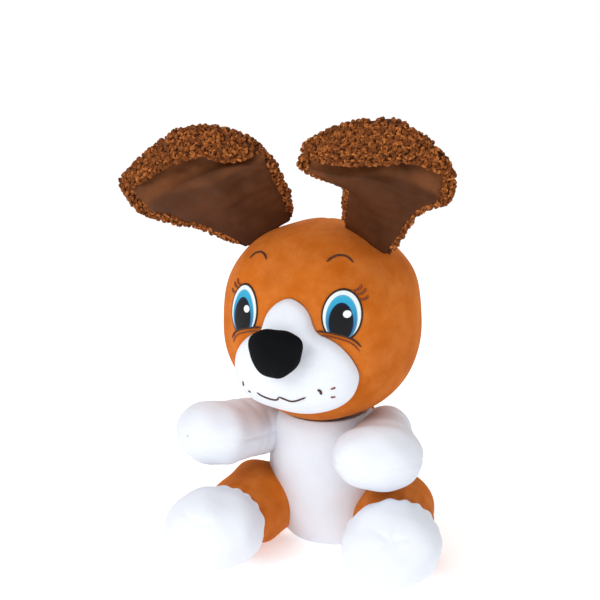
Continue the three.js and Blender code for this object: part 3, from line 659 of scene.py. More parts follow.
# ---- head --------------------------------------------------------------------------------------
@dataclass
class HeadShape:
    """The stuffed head: a full ellipsoid with a mound for the muzzle, in its own frame."""

    half_width: float = 72
    half_depth: float = 70
    half_height: float = 72
    jaw: float = 75
    roundness: float = 2.25
    bulge: float = 18
    middle: float = -24
    groove: float = 1.5
    outline: tuple = (
        (0, 23), (9, 19.5), (15, 13), (18.5, 4), (22, -1), (29, -4.5), (37, -10.5),
        (43.5, -20), (46.5, -32), (42.5, -44), (33, -52.5), (18, -58), (0, -60),
    )  # fmt: skip
    centre: np.ndarray = field(default_factory=lambda: np.array([0.0, -34.0, 179.0]))
    turn: float = -5.4
    lumps: Lumps = Lumps(0.75, 62.0, 5)

    def __post_init__(self) -> None:
        """Works out the muzzle's outline as a distance for each direction."""
        half = np.array(self.outline, float)
        mirrored = half[1:-1][::-1] * [-1, 1]
        closed = np.concatenate([half, mirrored])
        looped = np.concatenate([closed[-3:], closed, closed[:4]])
        dense = spline(looped, (len(looped) - 1) * 12 + 1)[36:-36]
        self.edge = dense
        away = dense - [0, self.middle]
        angles = np.arctan2(away[:, 1], away[:, 0])
        order = np.argsort(angles)
        self.edge_angles = angles[order]
        self.edge_reach = np.hypot(*away.T)[order]

    def bare(self, ways: np.ndarray) -> np.ndarray:
        """Radius without the mound: a superellipsoid that is longer below its middle."""
        tall = np.where(ways[..., 2] > 0, self.half_height, self.jaw)
        sizes = np.stack([np.full_like(tall, self.half_width), np.full_like(tall, self.half_depth), tall], -1)
        return (np.abs(ways / sizes) ** self.roundness).sum(-1) ** (-1 / self.roundness)

    def share(self, x: np.ndarray, z: np.ndarray) -> np.ndarray:
        """Front-view distance from the muzzle's middle as a share of the way to its outline."""
        angles = np.arctan2(z - self.middle, x)
        reach = np.interp(angles, self.edge_angles, self.edge_reach, period=2 * math.pi)
        return np.hypot(x, z - self.middle) / reach

    def radius(self, ways: np.ndarray) -> np.ndarray:
        """Radius with the mound, which stands highest in its middle and falls steeply at its edge."""
        bare = self.bare(ways)
        share = self.share(ways[..., 0] * bare, ways[..., 2] * bare)
        mound = self.bulge * np.clip(1 - share**2.6, 0, 1) ** 0.7
        return bare + np.where(ways[..., 1] < 0, mound, 0)

    def front(self, x: np.ndarray, z: np.ndarray, bare: bool = False) -> np.ndarray:
        """Points of the face that stand at x and z in the front view.

        Args:
            x: places across.
            z: places up.
            bare: whether the muzzle's mound is left out.

        Returns:
            The points, found by moving each along Y until its radius fits.
        """
        y = np.full_like(x, -self.half_depth)
        for _ in range(60):
            points = np.stack([x, y, z], -1)
            ways = unit(points)
            reach = self.bare(ways) if bare else self.radius(ways)
            y = 0.6 * y - 0.4 * np.sqrt(np.clip(reach**2 - x**2 - z**2, 1.0, None))
        return np.stack([x, y, z], -1)

    def front_frame(self, x: np.ndarray, z: np.ndarray, bare: bool = False) -> tuple:
        """Points of the face at x and z, and the face's outward normals there."""
        here = self.front(x, z, bare)
        across = self.front(x + 0.4, z, bare) - self.front(x - 0.4, z, bare)
        up = self.front(x, z + 0.4, bare) - self.front(x, z - 0.4, bare)
        return here, unit(np.cross(across, up))

    def place(self, points: np.ndarray) -> np.ndarray:
        """Head points carried to the head's place and turned with it."""
        a = math.radians(self.turn)
        turn = np.array([[math.cos(a), -math.sin(a), 0], [math.sin(a), math.cos(a), 0], [0, 0, 1]])
        return points @ turn.T + self.centre

    def polar(self) -> tuple:
        """The axis through the muzzle's middle and the two directions across it."""
        axis = unit(self.front(np.array([0.0]), np.array([self.middle * 1.0]), True))[0]
        across = np.array([1.0, 0.0, 0.0])
        up = -np.cross(across, axis)
        return axis, across, up

    def seam_angles(self, around: np.ndarray) -> np.ndarray:
        """Angle from the muzzle's axis to its seam, for each direction round the axis."""
        axis, across, up = self.polar()
        ways = unit(self.front(self.edge[:, 0], self.edge[:, 1], True))
        angle = np.arccos(np.clip(ways @ axis, -1, 1))
        turn = np.arctan2(ways @ up, ways @ across)
        order = np.argsort(turn)
        return np.interp(around, turn[order], angle[order], period=2 * math.pi)

    def skin(self, angles: np.ndarray, around: np.ndarray, seam: np.ndarray) -> np.ndarray:
        """Points of the cover at angles from the muzzle's axis: both panels dip into their seam.

        Args:
            angles: rows by columns, in radians.
            around: direction of each column round the axis.
            seam: angle of the seam for each column.

        Returns:
            Points in the head's own frame.
        """
        axis, across, up = self.polar()
        spokes = np.cos(around)[:, None] * across + np.sin(around)[:, None] * up
        ways = np.cos(angles)[..., None] * axis + np.sin(angles)[..., None] * spokes
        reach = self.radius(ways)
        gap = np.abs(angles - seam) * 70
        dip = self.groove * np.exp(-((gap / 2.6) ** 2))
        points = ways * reach[..., None]
        crown = smooth_step(26, 34, points[..., 2]) * (points[..., 1] < 20)
        dip = dip + 0.8 * np.exp(-((points[..., 0] / 1.7) ** 2)) * crown
        return ways * (reach - dip + self.lumps.at(points))[..., None]


@dataclass
class HeadCover:
    """The tan cover of the head, all round except for the muzzle's panel."""

    shape: HeadShape
    around: int = 216
    rows: int = 120

    def build(self) -> bpy.types.Object:
        """Rows from the muzzle's seam to the back of the head, tucked in along the seam."""
        around = np.linspace(-math.pi, math.pi, self.around, endpoint=False)
        seam = self.shape.seam_angles(around)
        steps = np.linspace(0, 1, self.rows)[:-1, None] ** 1.35
        angles = seam + 0.004 + steps * (math.pi - seam - 0.004)
        points = self.shape.skin(angles, around, seam)
        edge = points[0]
        tucks = [edge - unit(edge) * depth for depth in (5.0, 3.4, 1.7)]
        rows = np.concatenate([np.stack(tucks), points])
        count = len(rows)
        pole = rows[-1:].reshape(-1, 3).mean(0, keepdims=True)
        flat = np.concatenate([rows.reshape(-1, 3), pole])
        j = np.arange(self.around)
        last = (count - 1) * self.around
        fan = np.stack([np.full(self.around, len(flat) - 1), last + j, last + (j + 1) % self.around], 1)
        faces = [grid_quads(count, self.around, True), fan]
        return Maker.mesh("head_skin", self.shape.place(flat), faces)

    def dress(self, finish: bpy.types.Material) -> bpy.types.Object:
        """Builds the cover and fastens it to the head."""
        made = Maker.wall(self.build(), 2.0)
        made.data.materials.append(finish)
        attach(made, "head")
        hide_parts("head_cover", "head_filling")
        return made


@dataclass
class MuzzleCover:
    """The white panel of the muzzle and blaze, stuffed into a mound."""

    shape: HeadShape
    around: int = 216
    rows: int = 72

    def build(self) -> bpy.types.Object:
        """Rows from the panel's middle to its seam, tucked in along the seam."""
        around = np.linspace(-math.pi, math.pi, self.around, endpoint=False)
        seam = self.shape.seam_angles(around)
        steps = np.sin(np.linspace(0, math.pi / 2, self.rows))[1:, None]
        points = self.shape.skin(steps * (seam - 0.003), around, seam)
        edge = points[-1]
        tucks = [edge - unit(edge) * depth for depth in (1.7, 3.4, 5.0)]
        rows = np.concatenate([points, np.stack(tucks)])
        count = len(rows)
        pole = self.shape.skin(np.zeros((1, self.around)), around, seam)[0, :1]
        flat = np.concatenate([rows.reshape(-1, 3), pole])
        j = np.arange(self.around)
        fan = np.stack([np.full(self.around, len(flat) - 1), (j + 1) % self.around, j], 1)
        faces = [grid_quads(count, self.around, True), fan]
        return Maker.mesh("muzzle_skin", self.shape.place(flat), faces)

    def dress(self, finish: bpy.types.Material) -> bpy.types.Object:
        """Builds the panel and fastens it to the head."""
        made = Maker.wall(self.build(), 2.0)
        made.data.materials.append(finish)
        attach(made, "head")
        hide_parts("muzzle_cover")
        return made


@dataclass
class Nose:
    """The black cushion on the muzzle: an ellipsoid that is wider at its top."""

    shape: HeadShape
    x: float = 1.0
    y: float = -94.5
    z: float = -11.4
    half_width: float = 18.9
    half_depth: float = 12
    half_height: float = 16.8
    taper: float = 0.25

    def build(self) -> bpy.types.Object:
        """Rings from its back to its front, fuller than an ellipse in the front view."""
        angle = np.linspace(0.02, math.pi - 0.02, 44)[:, None]
        turn = np.linspace(0, 2 * math.pi, 72, endpoint=False)[None, :]
        round_ = (np.abs(np.cos(turn)) ** 2.3 + np.abs(np.sin(turn)) ** 2.3) ** (-1 / 2.3)
        x = np.sin(angle) * np.cos(turn) * round_
        z = np.sin(angle) * np.sin(turn) * round_
        y = np.cos(angle) * np.ones_like(turn)
        x = x * (1 + self.taper * z)
        points = np.stack([x * self.half_width, y * self.half_depth, z * self.half_height], -1)
        points = points + unit(points) * Lumps(0.35, 18.0, 3).at(points)[..., None]
        crease = 0.5 * np.exp(-((points[..., 0] / 1.1) ** 2)) * smooth_step(-2, -9, points[..., 2])
        points[..., 1] += crease
        points = points + [self.x, self.y, self.z]
        return Maker.tube("nose_pad", self.shape.place(points))

    def dress(self, finish: bpy.types.Material) -> bpy.types.Object:
        """Builds the cushion and fastens it to the head."""
        made = self.build()
        made.data.materials.append(finish)
        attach(made, "head")
        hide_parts("nose_cushion")
        return made


@dataclass
class Eye:
    """An embroidered eye, its lower lid and its lashes."""

    shape: HeadShape
    side: Side
    x: float = 36.5
    z: float = 12.0
    half_width: float = 12.9
    half_height: float = 18.4
    lid: tuple = ((-15.6, -10.9), (-11.2, -11.2), (-6.5, -12.0), (2.5, -14.4), (8.3, -17.5), (12.0, -22.0))
    lashes: tuple = (
        ((5.2, 16.2), (9.0, 17.4), (10.5, 20.2)),
        ((7.8, 13.8), (11.6, 15.0), (13.3, 17.6)),
        ((9.9, 10.6), (13.5, 10.8), (15.1, 12.8)),
    )

    def patch(self) -> bpy.types.Object:
        """A padded oval of stitching laid on the face, cut off below by the lower lid."""
        turn = np.linspace(0, 2 * math.pi, 96, endpoint=False)[None, :]
        share = np.linspace(0, 1, 26)[1:, None]
        u = self.half_width * share * np.cos(turn)
        v = self.half_height * share * np.sin(turn)
        lid = np.array(self.lid)
        floor = np.interp(u, lid[:, 0], lid[:, 1])
        v = np.maximum(v, floor)
        here, normal = self.shape.front_frame(self.side.value * (self.x + u), self.z + v, True)
        here = here + normal * (self.shape.lumps.at(here) + 0.55 + 0.35 * (1 - share**4))[..., None]
        skirt = here[-1:] - normal[-1:] * 2.4
        rows = np.concatenate([here, skirt])
        middle = here[0].mean(0, keepdims=True)
        flat = np.concatenate([rows.reshape(-1, 3), middle])
        count, columns = rows.shape[:2]
        j = np.arange(columns)
        fan = np.stack([np.full(columns, len(flat) - 1), j, (j + 1) % columns], 1)
        faces = [grid_quads(count, columns, True)[:, ::-1], fan]
        glint_side = self.side.value
        uv = np.stack([np.concatenate([u, u[-1:]]) * glint_side, np.concatenate([v, v[-1:]])], -1)
        uv = np.concatenate([uv.reshape(-1, 2), [[0.0, float(v[0].mean())]]])
        name = f"eye_{self.side.word}_patch"
        return Maker.mesh(name, self.shape.place(flat), faces, uv, inside=self.shape.centre)

    def stitch(self, name: str, knots: tuple, width: float) -> bpy.types.Object:
        """A run of stitching beside the eye, from places measured from its middle."""
        spots = [(self.side.value * (self.x + u), self.z + v) for u, v in knots]
        return Stitching(self.shape).line(f"{name}_{self.side.word}", spots, width, bare=True)

    def dress(self, eye: EyeStitching, thread: bpy.types.Material, lash: bpy.types.Material) -> list:
        """Builds the eye's pieces and fastens them to the head."""
        patch = self.patch()
        patch.data.materials.append(eye.material(self.half_width, self.half_height, self.side))
        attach(patch, "head")
        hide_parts(f"eye_{self.side.word}_embroidery")
        lines = [(self.stitch("lid", self.lid, 0.75), thread)]
        fold = tuple((u * 0.86 + 0.6, v - 2.9) for u, v in self.lid)
        lines.append((self.stitch("lid_fold", fold, 0.55), lash))
        for number, knots in enumerate(self.lashes, 1):
            lines.append((self.stitch(f"lash_{number}", knots, 0.8), lash))
        for made, finish in lines:
            made.data.materials.append(finish)
            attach(made, "head")
        return [patch, *[made for made, _ in lines]]


@dataclass
class Stitching:
    """Lines of raised embroidery on the face, each through places in the front view."""

    shape: HeadShape
    brow: tuple = ((22.6, 47.2), (25.2, 49.9), (29.2, 51.3), (34.2, 50.4), (39.0, 46.8))
    mouth_right: tuple = ((-20.5, -43.6), (-16.6, -46.2), (-11.6, -48.2), (-6.5, -48.6), (-3.6, -45.8))
    mouth_left: tuple = (
        (-3.6, -45.8), (-0.6, -47.0), (4.1, -48.6), (8.6, -47.8), (12.7, -45.9), (16.2, -44.2),
    )  # fmt: skip
    freckles: tuple = (
        ((25.2, -37.8), (26.6, -38.8), (26.9, -41.4)),
        ((33.1, -37.6), (35.9, -36.5)),
        ((32.0, -43.9), (34.6, -43.7)),
        ((-32.4, -40.4), (-32.2, -37.0)),
        ((-28.4, -43.6), (-26.6, -44.4)),
    )

    def line(
        self, name: str, knots: list, width: float, bare: bool = False, count: int = 36
    ) -> bpy.types.Object:
        """A flattened cord laid along the face, tapered at its ends.

        Args:
            name: the piece's name.
            knots: places in the front view that it passes through.
            width: its half width, in millimetres.
            bare: whether it lies on the head beside the muzzle.
            count: number of rings along it.

        Returns:
            The new object.
        """
        path = spline(np.array(knots, float), count)
        here, normal = self.shape.front_frame(path[:, 0], path[:, 1], bare)
        here = here + normal * (self.shape.lumps.at(here) + 0.35)[:, None]
        along = unit(np.gradient(here, axis=0))
        sideways = unit(np.cross(along, normal))
        share = np.linspace(0, 1, count)
        taper = np.clip(np.minimum(share, 1 - share) * 9, 0.25, 1) ** 0.5
        turn = np.linspace(0, 2 * math.pi, 10, endpoint=False)
        wide = (width * taper)[:, None, None] * np.cos(turn)[None, :, None] * sideways[:, None]
        high = (0.62 * taper)[:, None, None] * np.sin(turn)[None, :, None] * normal[:, None]
        return Maker.tube(name, self.shape.place(here[:, None] + wide + high))

    def dress(self, finish: bpy.types.Material, brown: bpy.types.Material) -> list:
        """Builds the brows, the mouth and the freckles, and fastens them to the head."""
        made = []
        for side in Side:
            knots = [(side.value * x, z) for x, z in self.brow]
            brow = self.line(f"brow_{side.word}", knots, 0.85, bare=True)
            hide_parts(f"brow_{side.word}_embroidery")
            made.append((brow, finish))
        for name, knots in (("mouth_right", self.mouth_right), ("mouth_left", self.mouth_left)):
            made.append((self.line(name, knots, 0.6), finish))
        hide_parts("mouth_embroidery")
        for number, knots in enumerate(self.freckles, 1):
            width, material = (0.95, finish) if number == 1 else (0.55, brown)
            made.append((self.line(f"freckle_{number}", knots, width, count=10), material))
        for line, material in made:
            line.data.materials.append(material)
            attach(line, "head")
        return [line for line, _ in made]


# ---- ears --------------------------------------------------------------------------------------
EAR_NETS = {
    Side.LEFT: (
        ((20, -10, 71), (30, -15, 66.5), (40, -18, 61), (49, -20, 56), (58, -21, 50.5)),
        ((27, -30, 89), (41, -36, 86), (55, -38, 83), (68, -38, 81), (79, -34, 78)),
        ((30, -42, 101), (47, -50, 96), (60, -52, 93), (75, -50, 90), (93, -44, 87)),
        ((4, -50, 112), (32, -56, 106), (61, -58, 107), (84, -56, 100), (106, -48, 91)),
        ((2, -50, 118), (31, -54, 120), (58, -54, 123), (85, -54, 118.5), (110, -46, 101)),
        ((8, -56, 127), (29, -56, 138.5), (57, -56, 142.5), (86, -56, 137.5), (109, -48, 113)),
        ((13, -64, 120), (37, -72, 117), (63, -72, 117), (85, -68, 119), (105, -56, 112)),
    ),
    Side.RIGHT: (
        ((-22, -6, 74), (-30, -10, 69), (-37, -14, 63), (-45, -18, 57), (-53, -21, 52)),
        ((-19, -24, 95), (-36, -30, 90), (-52, -34, 82), (-68, -36, 75), (-85, -36, 67)),
        ((-20, -34, 104), (-37, -42, 100), (-57, -46, 91), (-80, -47, 84), (-103, -44, 71)),
        ((-21, -44, 115), (-41, -54, 112), (-64, -58, 103), (-93, -58, 95), (-124, -48, 78)),
        ((-28, -44, 123), (-47, -50, 121), (-70, -54, 118), (-99, -54, 109), (-136, -48, 89)),
        ((-35, -48, 130), (-52, -52, 135), (-74, -56, 139), (-106, -56, 125), (-140, -50, 101)),
        ((-33, -58, 120), (-47, -68, 117), (-66, -70, 121), (-95, -68, 112), (-126, -56, 98)),
    ),
}  # knots from the root to the rim, each row from the inner edge to the outer, in the head's frame


@dataclass
class Ear:
    """One ear: a satin lining in front of a curly back, stiff at its root and folded at its end."""

    shape: HeadShape
    side: Side
    front: float = 1.6
    back: float = 2.6
    lining_inset: float = 0.055
    lining_stop: float = 0.955
    curls: int = 3300
    seed: int = 11

    def surface(self, across: np.ndarray, along: np.ndarray) -> np.ndarray:
        """The ear's middle layer: Catmull-Rom curves both ways through the net of knots.

        Args:
            across: places from the inner edge to the outer.
            along: places from the root to the rim.

        Returns:
            A grid of points in the head's own frame.
        """
        net = np.array(EAR_NETS[self.side], float)
        sideways = spline_weights(net.shape[1], across)
        lengthways = spline_weights(net.shape[0], along)
        return np.einsum("ai,bj,ijk->abk", lengthways, sideways, net)

    def normals(self, across: np.ndarray, along: np.ndarray) -> np.ndarray:
        """Unit normals of the middle layer, towards the curly side."""
        step = 0.004
        one = self.surface(np.clip(across + step, 0, 1), along)
        two = self.surface(np.clip(across - step, 0, 1), along)
        far = self.surface(across, np.clip(along + step, 0, 1))
        near = self.surface(across, np.clip(along - step, 0, 1))
        return -self.side.value * unit(np.cross(one - two, far - near))

    def folds(self, across: np.ndarray, along: np.ndarray) -> np.ndarray:
        """Wrinkles: waves that fan out from the neck, and the sharp fold where the limp end starts.

        Args:
            across: places from the inner edge to the outer.
            along: places from the root to the rim.

        Returns:
            Heights towards the curly side.
        """
        u, v = np.meshgrid(across, along)
        side = self.side.value
        fan = np.sin((u - 0.5) * 17 / (0.55 + v) + 1.3 * side)
        fan = fan + 0.6 * np.sin((u - 0.4) * 31 / (0.6 + v) + 3.1 * side)
        line = v - (0.5 + 0.035 * np.sin(5.5 * u + side))
        fold = 2.6 * np.exp(-np.abs(line) / 0.022) - 0.9 * np.exp(-(((line - 0.07) / 0.05) ** 2))
        valley = 1.6 * np.exp(-(((u - 0.52 - 0.5 * (v - 0.66)) / 0.05) ** 2)) * smooth_step(0.52, 0.62, v)
        soft = 1.0 * fan * smooth_step(0.2, 0.55, v) * (1 - smooth_step(0.8, 1.0, v))
        fade = (1 - smooth_step(0.85, 1.0, v)) * smooth_step(0, 0.1, u)
        return soft + (valley - fold) * fade * smooth_step(0, 0.1, 1 - u)

    def wool(self) -> bpy.types.Object:
        """The curly side's cloth: a closed lens of two sheets that meet round the edge."""
        count = (64, 96)
        u = (1 - np.cos(np.linspace(0, math.pi, count[0]))) / 2
        v = (1 - np.cos(np.linspace(0, math.pi, count[1]))) / 2
        middle, normal = self.surface(u, v), self.normals(u, v)
        full = np.sqrt(np.clip(4 * u * (1 - u), 0, 1))[None, :] ** 0.7
        full = full * np.sqrt(np.clip(4 * v * (1 - v), 0, 1))[:, None] ** 0.7
        wave = self.folds(u, v) * full
        thick_back = self.back + Lumps(0.6, 16.0, self.seed).at(middle)
        outer = middle + normal * (thick_back * full + wave)[..., None]
        inner = middle - normal * (self.front * full - wave)[..., None]
        points = np.concatenate([outer.reshape(-1, 3), inner.reshape(-1, 3)])
        quads = grid_quads(len(v), len(u), False)
        other = quads[:, ::-1] + len(u) * len(v)
        name = f"ear_{self.side.word}_wool"
        # Painted shade: the cloth under the curls gets a low tint, so it is painted dark like the shade
        # between the curls.
        tint = np.full(len(points), 0.12)
        made = Maker.mesh(name, self.shape.place(points), [quads, other], tint=tint)
        self.close_edges(made)
        return made

    @staticmethod
    def close_edges(made: bpy.types.Object) -> None:
        """Merges the points of the two sheets that meet."""
        work = bmesh.new()
        work.from_mesh(made.data)
        bmesh.ops.remove_doubles(work, verts=work.verts, dist=0.00002)
        work.to_mesh(made.data)
        work.free()

    def lining(self) -> tuple:
        """The satin in front: the net's surface, inset from the edge and slightly wrinkled, with painted
        light and shade in its tint.

        Returns:
            The piece, and its mean width and length laid flat, in metres.
        """
        u = np.linspace(self.lining_inset, 1 - self.lining_inset, 72)
        v = np.linspace(0.0, self.lining_stop, 110)
        middle, normal = self.surface(u, v), self.normals(u, v)
        grid_u, grid_v = np.meshgrid(u, v)
        near_edge = np.minimum(grid_u - u[0], u[-1] - grid_u) / 0.03
        near_end = (v[-1] - grid_v) / 0.02
        sink = np.exp(-np.clip(np.minimum(near_edge, near_end), 0, 9) ** 2) * 1.1
        small = Lumps(0.35, 13.0, self.seed + 1).at(middle)
        depth = self.front + 1.3 - sink - self.folds(u, v) + small
        points = middle - normal * depth[..., None]
        quads = grid_quads(len(v), len(u), False)
        name = f"ear_{self.side.word}_satin"
        behind = self.shape.place(points[20, 36] + normal[20, 36] * 60)
        # Painted light: past the crease the lining faces up and is painted lighter, with painted highlights
        # along its folds; painted shade fades it under the curly rim and darkens it near the root.
        beyond = smooth_step(0.485, 0.53, grid_v + 0.03 * np.sin(5 * grid_u + self.side.value))
        under = 1 - smooth_step(0.8, 0.93, grid_v)
        painted_light = 0.2 + 0.42 * beyond * under + 0.16 * self.folds(u, v) * beyond
        painted_light = np.clip(painted_light - 0.1 * smooth_step(0.3, 0.0, grid_v), 0, 1)
        made = Maker.mesh(name, self.shape.place(points), [quads], inside=behind, tint=painted_light.ravel())
        wide = np.linalg.norm(np.diff(points, axis=1), axis=-1).sum(1).mean()
        long = np.linalg.norm(np.diff(points, axis=0), axis=-1).sum(0).mean()
        return Maker.wall(made, 0.9), (float(wide) * MM, float(long) * MM)

    def curl_places(self) -> tuple:
        """Even but irregular places on the curly side and round its edges.

        Returns:
            Points, outward normals and a tint for each place.
        """
        draw = np.random.default_rng(self.seed)
        u, v = np.linspace(0, 1, 90), np.linspace(0, 1, 130)
        middle, normal = self.surface(u, v), self.normals(u, v)
        across = np.linalg.norm(np.gradient(middle, axis=1), axis=-1)
        along = np.linalg.norm(np.gradient(middle, axis=0), axis=-1)
        area = across * along
        grid_u, grid_v = np.meshgrid(u, v)
        margin = np.minimum(np.minimum(grid_u, 1 - grid_u) / 0.06, (1 - grid_v) / 0.045)
        front = (margin < 1) & (grid_v > 0.03)
        weights = np.concatenate([(area * (grid_v > 0.02)).ravel(), (area * front * 1.25).ravel()])
        total = np.cumsum(weights)
        spots = (np.arange(self.curls) + draw.uniform(0, 1, self.curls)) / self.curls * total[-1]
        picked = np.minimum(np.searchsorted(total, spots), len(total) - 1)
        on_front = picked >= area.size
        cell = np.where(on_front, picked - area.size, picked)
        base = middle.reshape(-1, 3)[cell]
        out = normal.reshape(-1, 3)[cell]
        sideways = unit(np.gradient(middle, axis=1).reshape(-1, 3)[cell])
        lengthways = unit(np.gradient(middle, axis=0).reshape(-1, 3)[cell])
        jitter = draw.uniform(-0.5, 0.5, (2, self.curls, 1))
        base = base + sideways * jitter[0] * 1.6 + lengthways * jitter[1] * 1.3
        pu, pv = grid_u.ravel()[cell], grid_v.ravel()[cell]
        full = np.sqrt(np.clip(4 * pu * (1 - pu), 0, 1)) ** 0.7
        full = full * np.sqrt(np.clip(4 * pv * (1 - pv), 0, 1)) ** 0.7
        wave = self.folds(u, v).ravel()[cell]
        offset = (np.where(on_front, -(self.front + 0.2), self.back) + wave) * full
        edge_out = unit(
            sideways * (smooth_step(0.93, 1, pu) - smooth_step(0.07, 0, pu) * 1.0)[:, None]
            + lengthways * smooth_step(0.95, 1, pv)[:, None]
            + out * 1e-3
        )
        edge_share = np.maximum(smooth_step(0.93, 1, pu), smooth_step(0.93, 1, 1 - pu))
        edge_share = np.maximum(edge_share, smooth_step(0.95, 1, pv))
        sign = np.where(on_front, -1.0, 1.0)
        turned = 0.75 * edge_share[:, None]
        face = unit(out * sign[:, None] * (1 - turned) + edge_out * turned)
        return base + out * offset[:, None], face, draw.uniform(0.3, 0.95, self.curls)

    def wool_curls(self) -> bpy.types.Object:
        """Small hooked locks: arcs of about 250 degrees, each leaning its own way."""
        places, outwards, tint = self.curl_places()
        draw = np.random.default_rng(self.seed + 7)
        count = len(places)
        spin = draw.uniform(0, 2 * math.pi, count)
        helper = np.where(np.abs(outwards[:, 2:3]) < 0.8, [[0.0, 0.0, 1.0]], [[1.0, 0.0, 0.0]])
        first = unit(np.cross(outwards, helper))
        second = np.cross(outwards, first)
        one = first * np.cos(spin)[:, None] + second * np.sin(spin)[:, None]
        two = np.cross(outwards, one)
        lean = draw.uniform(-0.5, 0.5, (count, 1))
        up = unit(outwards + two * lean)
        radius = draw.uniform(0.95, 1.6, (count, 1, 1))
        thick = draw.uniform(0.75, 1.1, (count, 1, 1, 1))
        turn = np.linspace(-0.2, math.radians(245), 6)
        centre = places[:, None] + up[:, None] * 0.3
        rise = np.sin(np.linspace(0, math.pi, 6))[None, :, None] * 0.8
        hook = np.cos(turn)[None, :, None] * one[:, None] + np.sin(turn)[None, :, None] * two[:, None]
        arc = centre + radius * hook
        arc = arc + up[:, None] * rise
        along = unit(np.gradient(arc, axis=1))
        side = unit(np.cross(along, up[:, None]))
        top = np.cross(side, along)
        ring = np.linspace(0, 2 * math.pi, 4, endpoint=False)
        taper = np.array([0.5, 1.0, 1.12, 1.12, 0.95, 0.4])[None, :, None, None]
        around = np.cos(ring)[None, None, :, None] * side[:, :, None]
        around = around + np.sin(ring)[None, None, :, None] * top[:, :, None]
        points = arc[:, :, None] + around * thick * taper
        block = 6 * 4
        quads = np.concatenate([grid_quads(6, 4, True), [[3, 2, 1, 0], [20, 21, 22, 23]]])
        starts = (np.arange(count) * block)[:, None, None]
        faces = [(starts + quads[None]).reshape(-1, 4)]
        # painted shade and highlight: each curl's random tone is darkened at both ends, where it meets the
        # cloth, and is lightest at its crest
        shade = np.repeat(tint, block) * np.tile(np.repeat([0.5, 0.75, 0.95, 1.0, 0.9, 0.65], 4), count)
        name = f"ear_{self.side.word}_curls"
        return Maker.mesh(name, self.shape.place(points), faces, tint=shade)

    def dress(self, wool: bpy.types.Material, satin: bpy.types.Material) -> list:
        """Builds the ear's layers and gives each its material; they are not fastened to any body."""
        name = self.side.word
        lining, flat = self.lining()
        layers = [
            (self.wool(), wool, Slot.CURLY),
            (self.wool_curls(), wool, Slot.CURLY),
            (lining, satin, Slot.SATIN),
        ]
        log.info("%s lies flat as %.0f x %.0f mm", lining.name, flat[0] / MM, flat[1] / MM)
        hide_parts(f"ear_{name}_sherpa")
        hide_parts(f"ear_{name}_lining", f"ear_{name}_stay")
        net = np.array(EAR_NETS[self.side], float)
        root, stem = self.shape.place(net[0]).mean(0), self.shape.place(net[1]).mean(0)
        start = root + (root - stem) * 0.25
        for made, material, finish in layers:
            made.data.materials.append(material)
            tuple(start * MM)
            tuple(stem * MM)
            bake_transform(made)
        return [made for made, _, _ in layers]


# ---- body --------------------------------------------------------------------------------------
@dataclass
class Limb:
    """A stuffed limb: a profile turned about its line and flattened towards its end."""

    start: np.ndarray
    end: np.ndarray
    knots: tuple
    flatten: float
    lumps: Lumps

    def __post_init__(self) -> None:
        """Works out the limb's line."""
        self.length = float(np.linalg.norm(self.end - self.start))
        self.along = unit(self.end - self.start)
        self.sideways = unit(np.cross(self.along, [0, 0, 1.0]))
        self.upwards = np.cross(self.sideways, self.along)

    def rings(self, low: float, high: float, rows: int, columns: int) -> tuple:
        """Rings of the limb between two shares of its profile.

        Args:
            low: share of the profile's curve where the rings start.
            high: share where they end.
            rows: number of rings.
            columns: points round a ring.

        Returns:
            Ring points, distances along the limb, and the angle of each point round it.
        """
        curve = spline_weights(len(self.knots), np.linspace(low, high, rows)) @ np.array(self.knots, float)
        away, radius = curve[:, :1], np.clip(curve[:, 1:], 0.05, None)
        turn = np.linspace(0, 2 * math.pi, columns, endpoint=False)[None, :]
        share = smooth_step(self.length * 0.15, self.length * 0.9, away)
        squash = 1 + (self.flatten - 1) * share
        across = radius * np.cos(turn)
        up = radius * np.sin(turn) * squash
        points = self.start + away[..., None] * self.along
        points = points + across[..., None] * self.sideways + up[..., None] * self.upwards
        outward = unit(across[..., None] * self.sideways + (up / squash**2)[..., None] * self.upwards)
        points = points + outward * self.lumps.at(points)[..., None]
        return points, np.broadcast_to(away, points.shape[:2]), np.broadcast_to(turn, points.shape[:2])

    def axis_point(self, away: np.ndarray) -> np.ndarray:
        """Points on the limb's line."""
        return self.start + away[..., None] * self.along


def ball_back(radius: float) -> list:
    """The back quarter of a ball's profile: distance along the limb and radius."""
    angles = np.radians([0, 18, 36, 54, 72])
    return [(-radius * math.cos(a), radius * math.sin(a)) for a in angles]


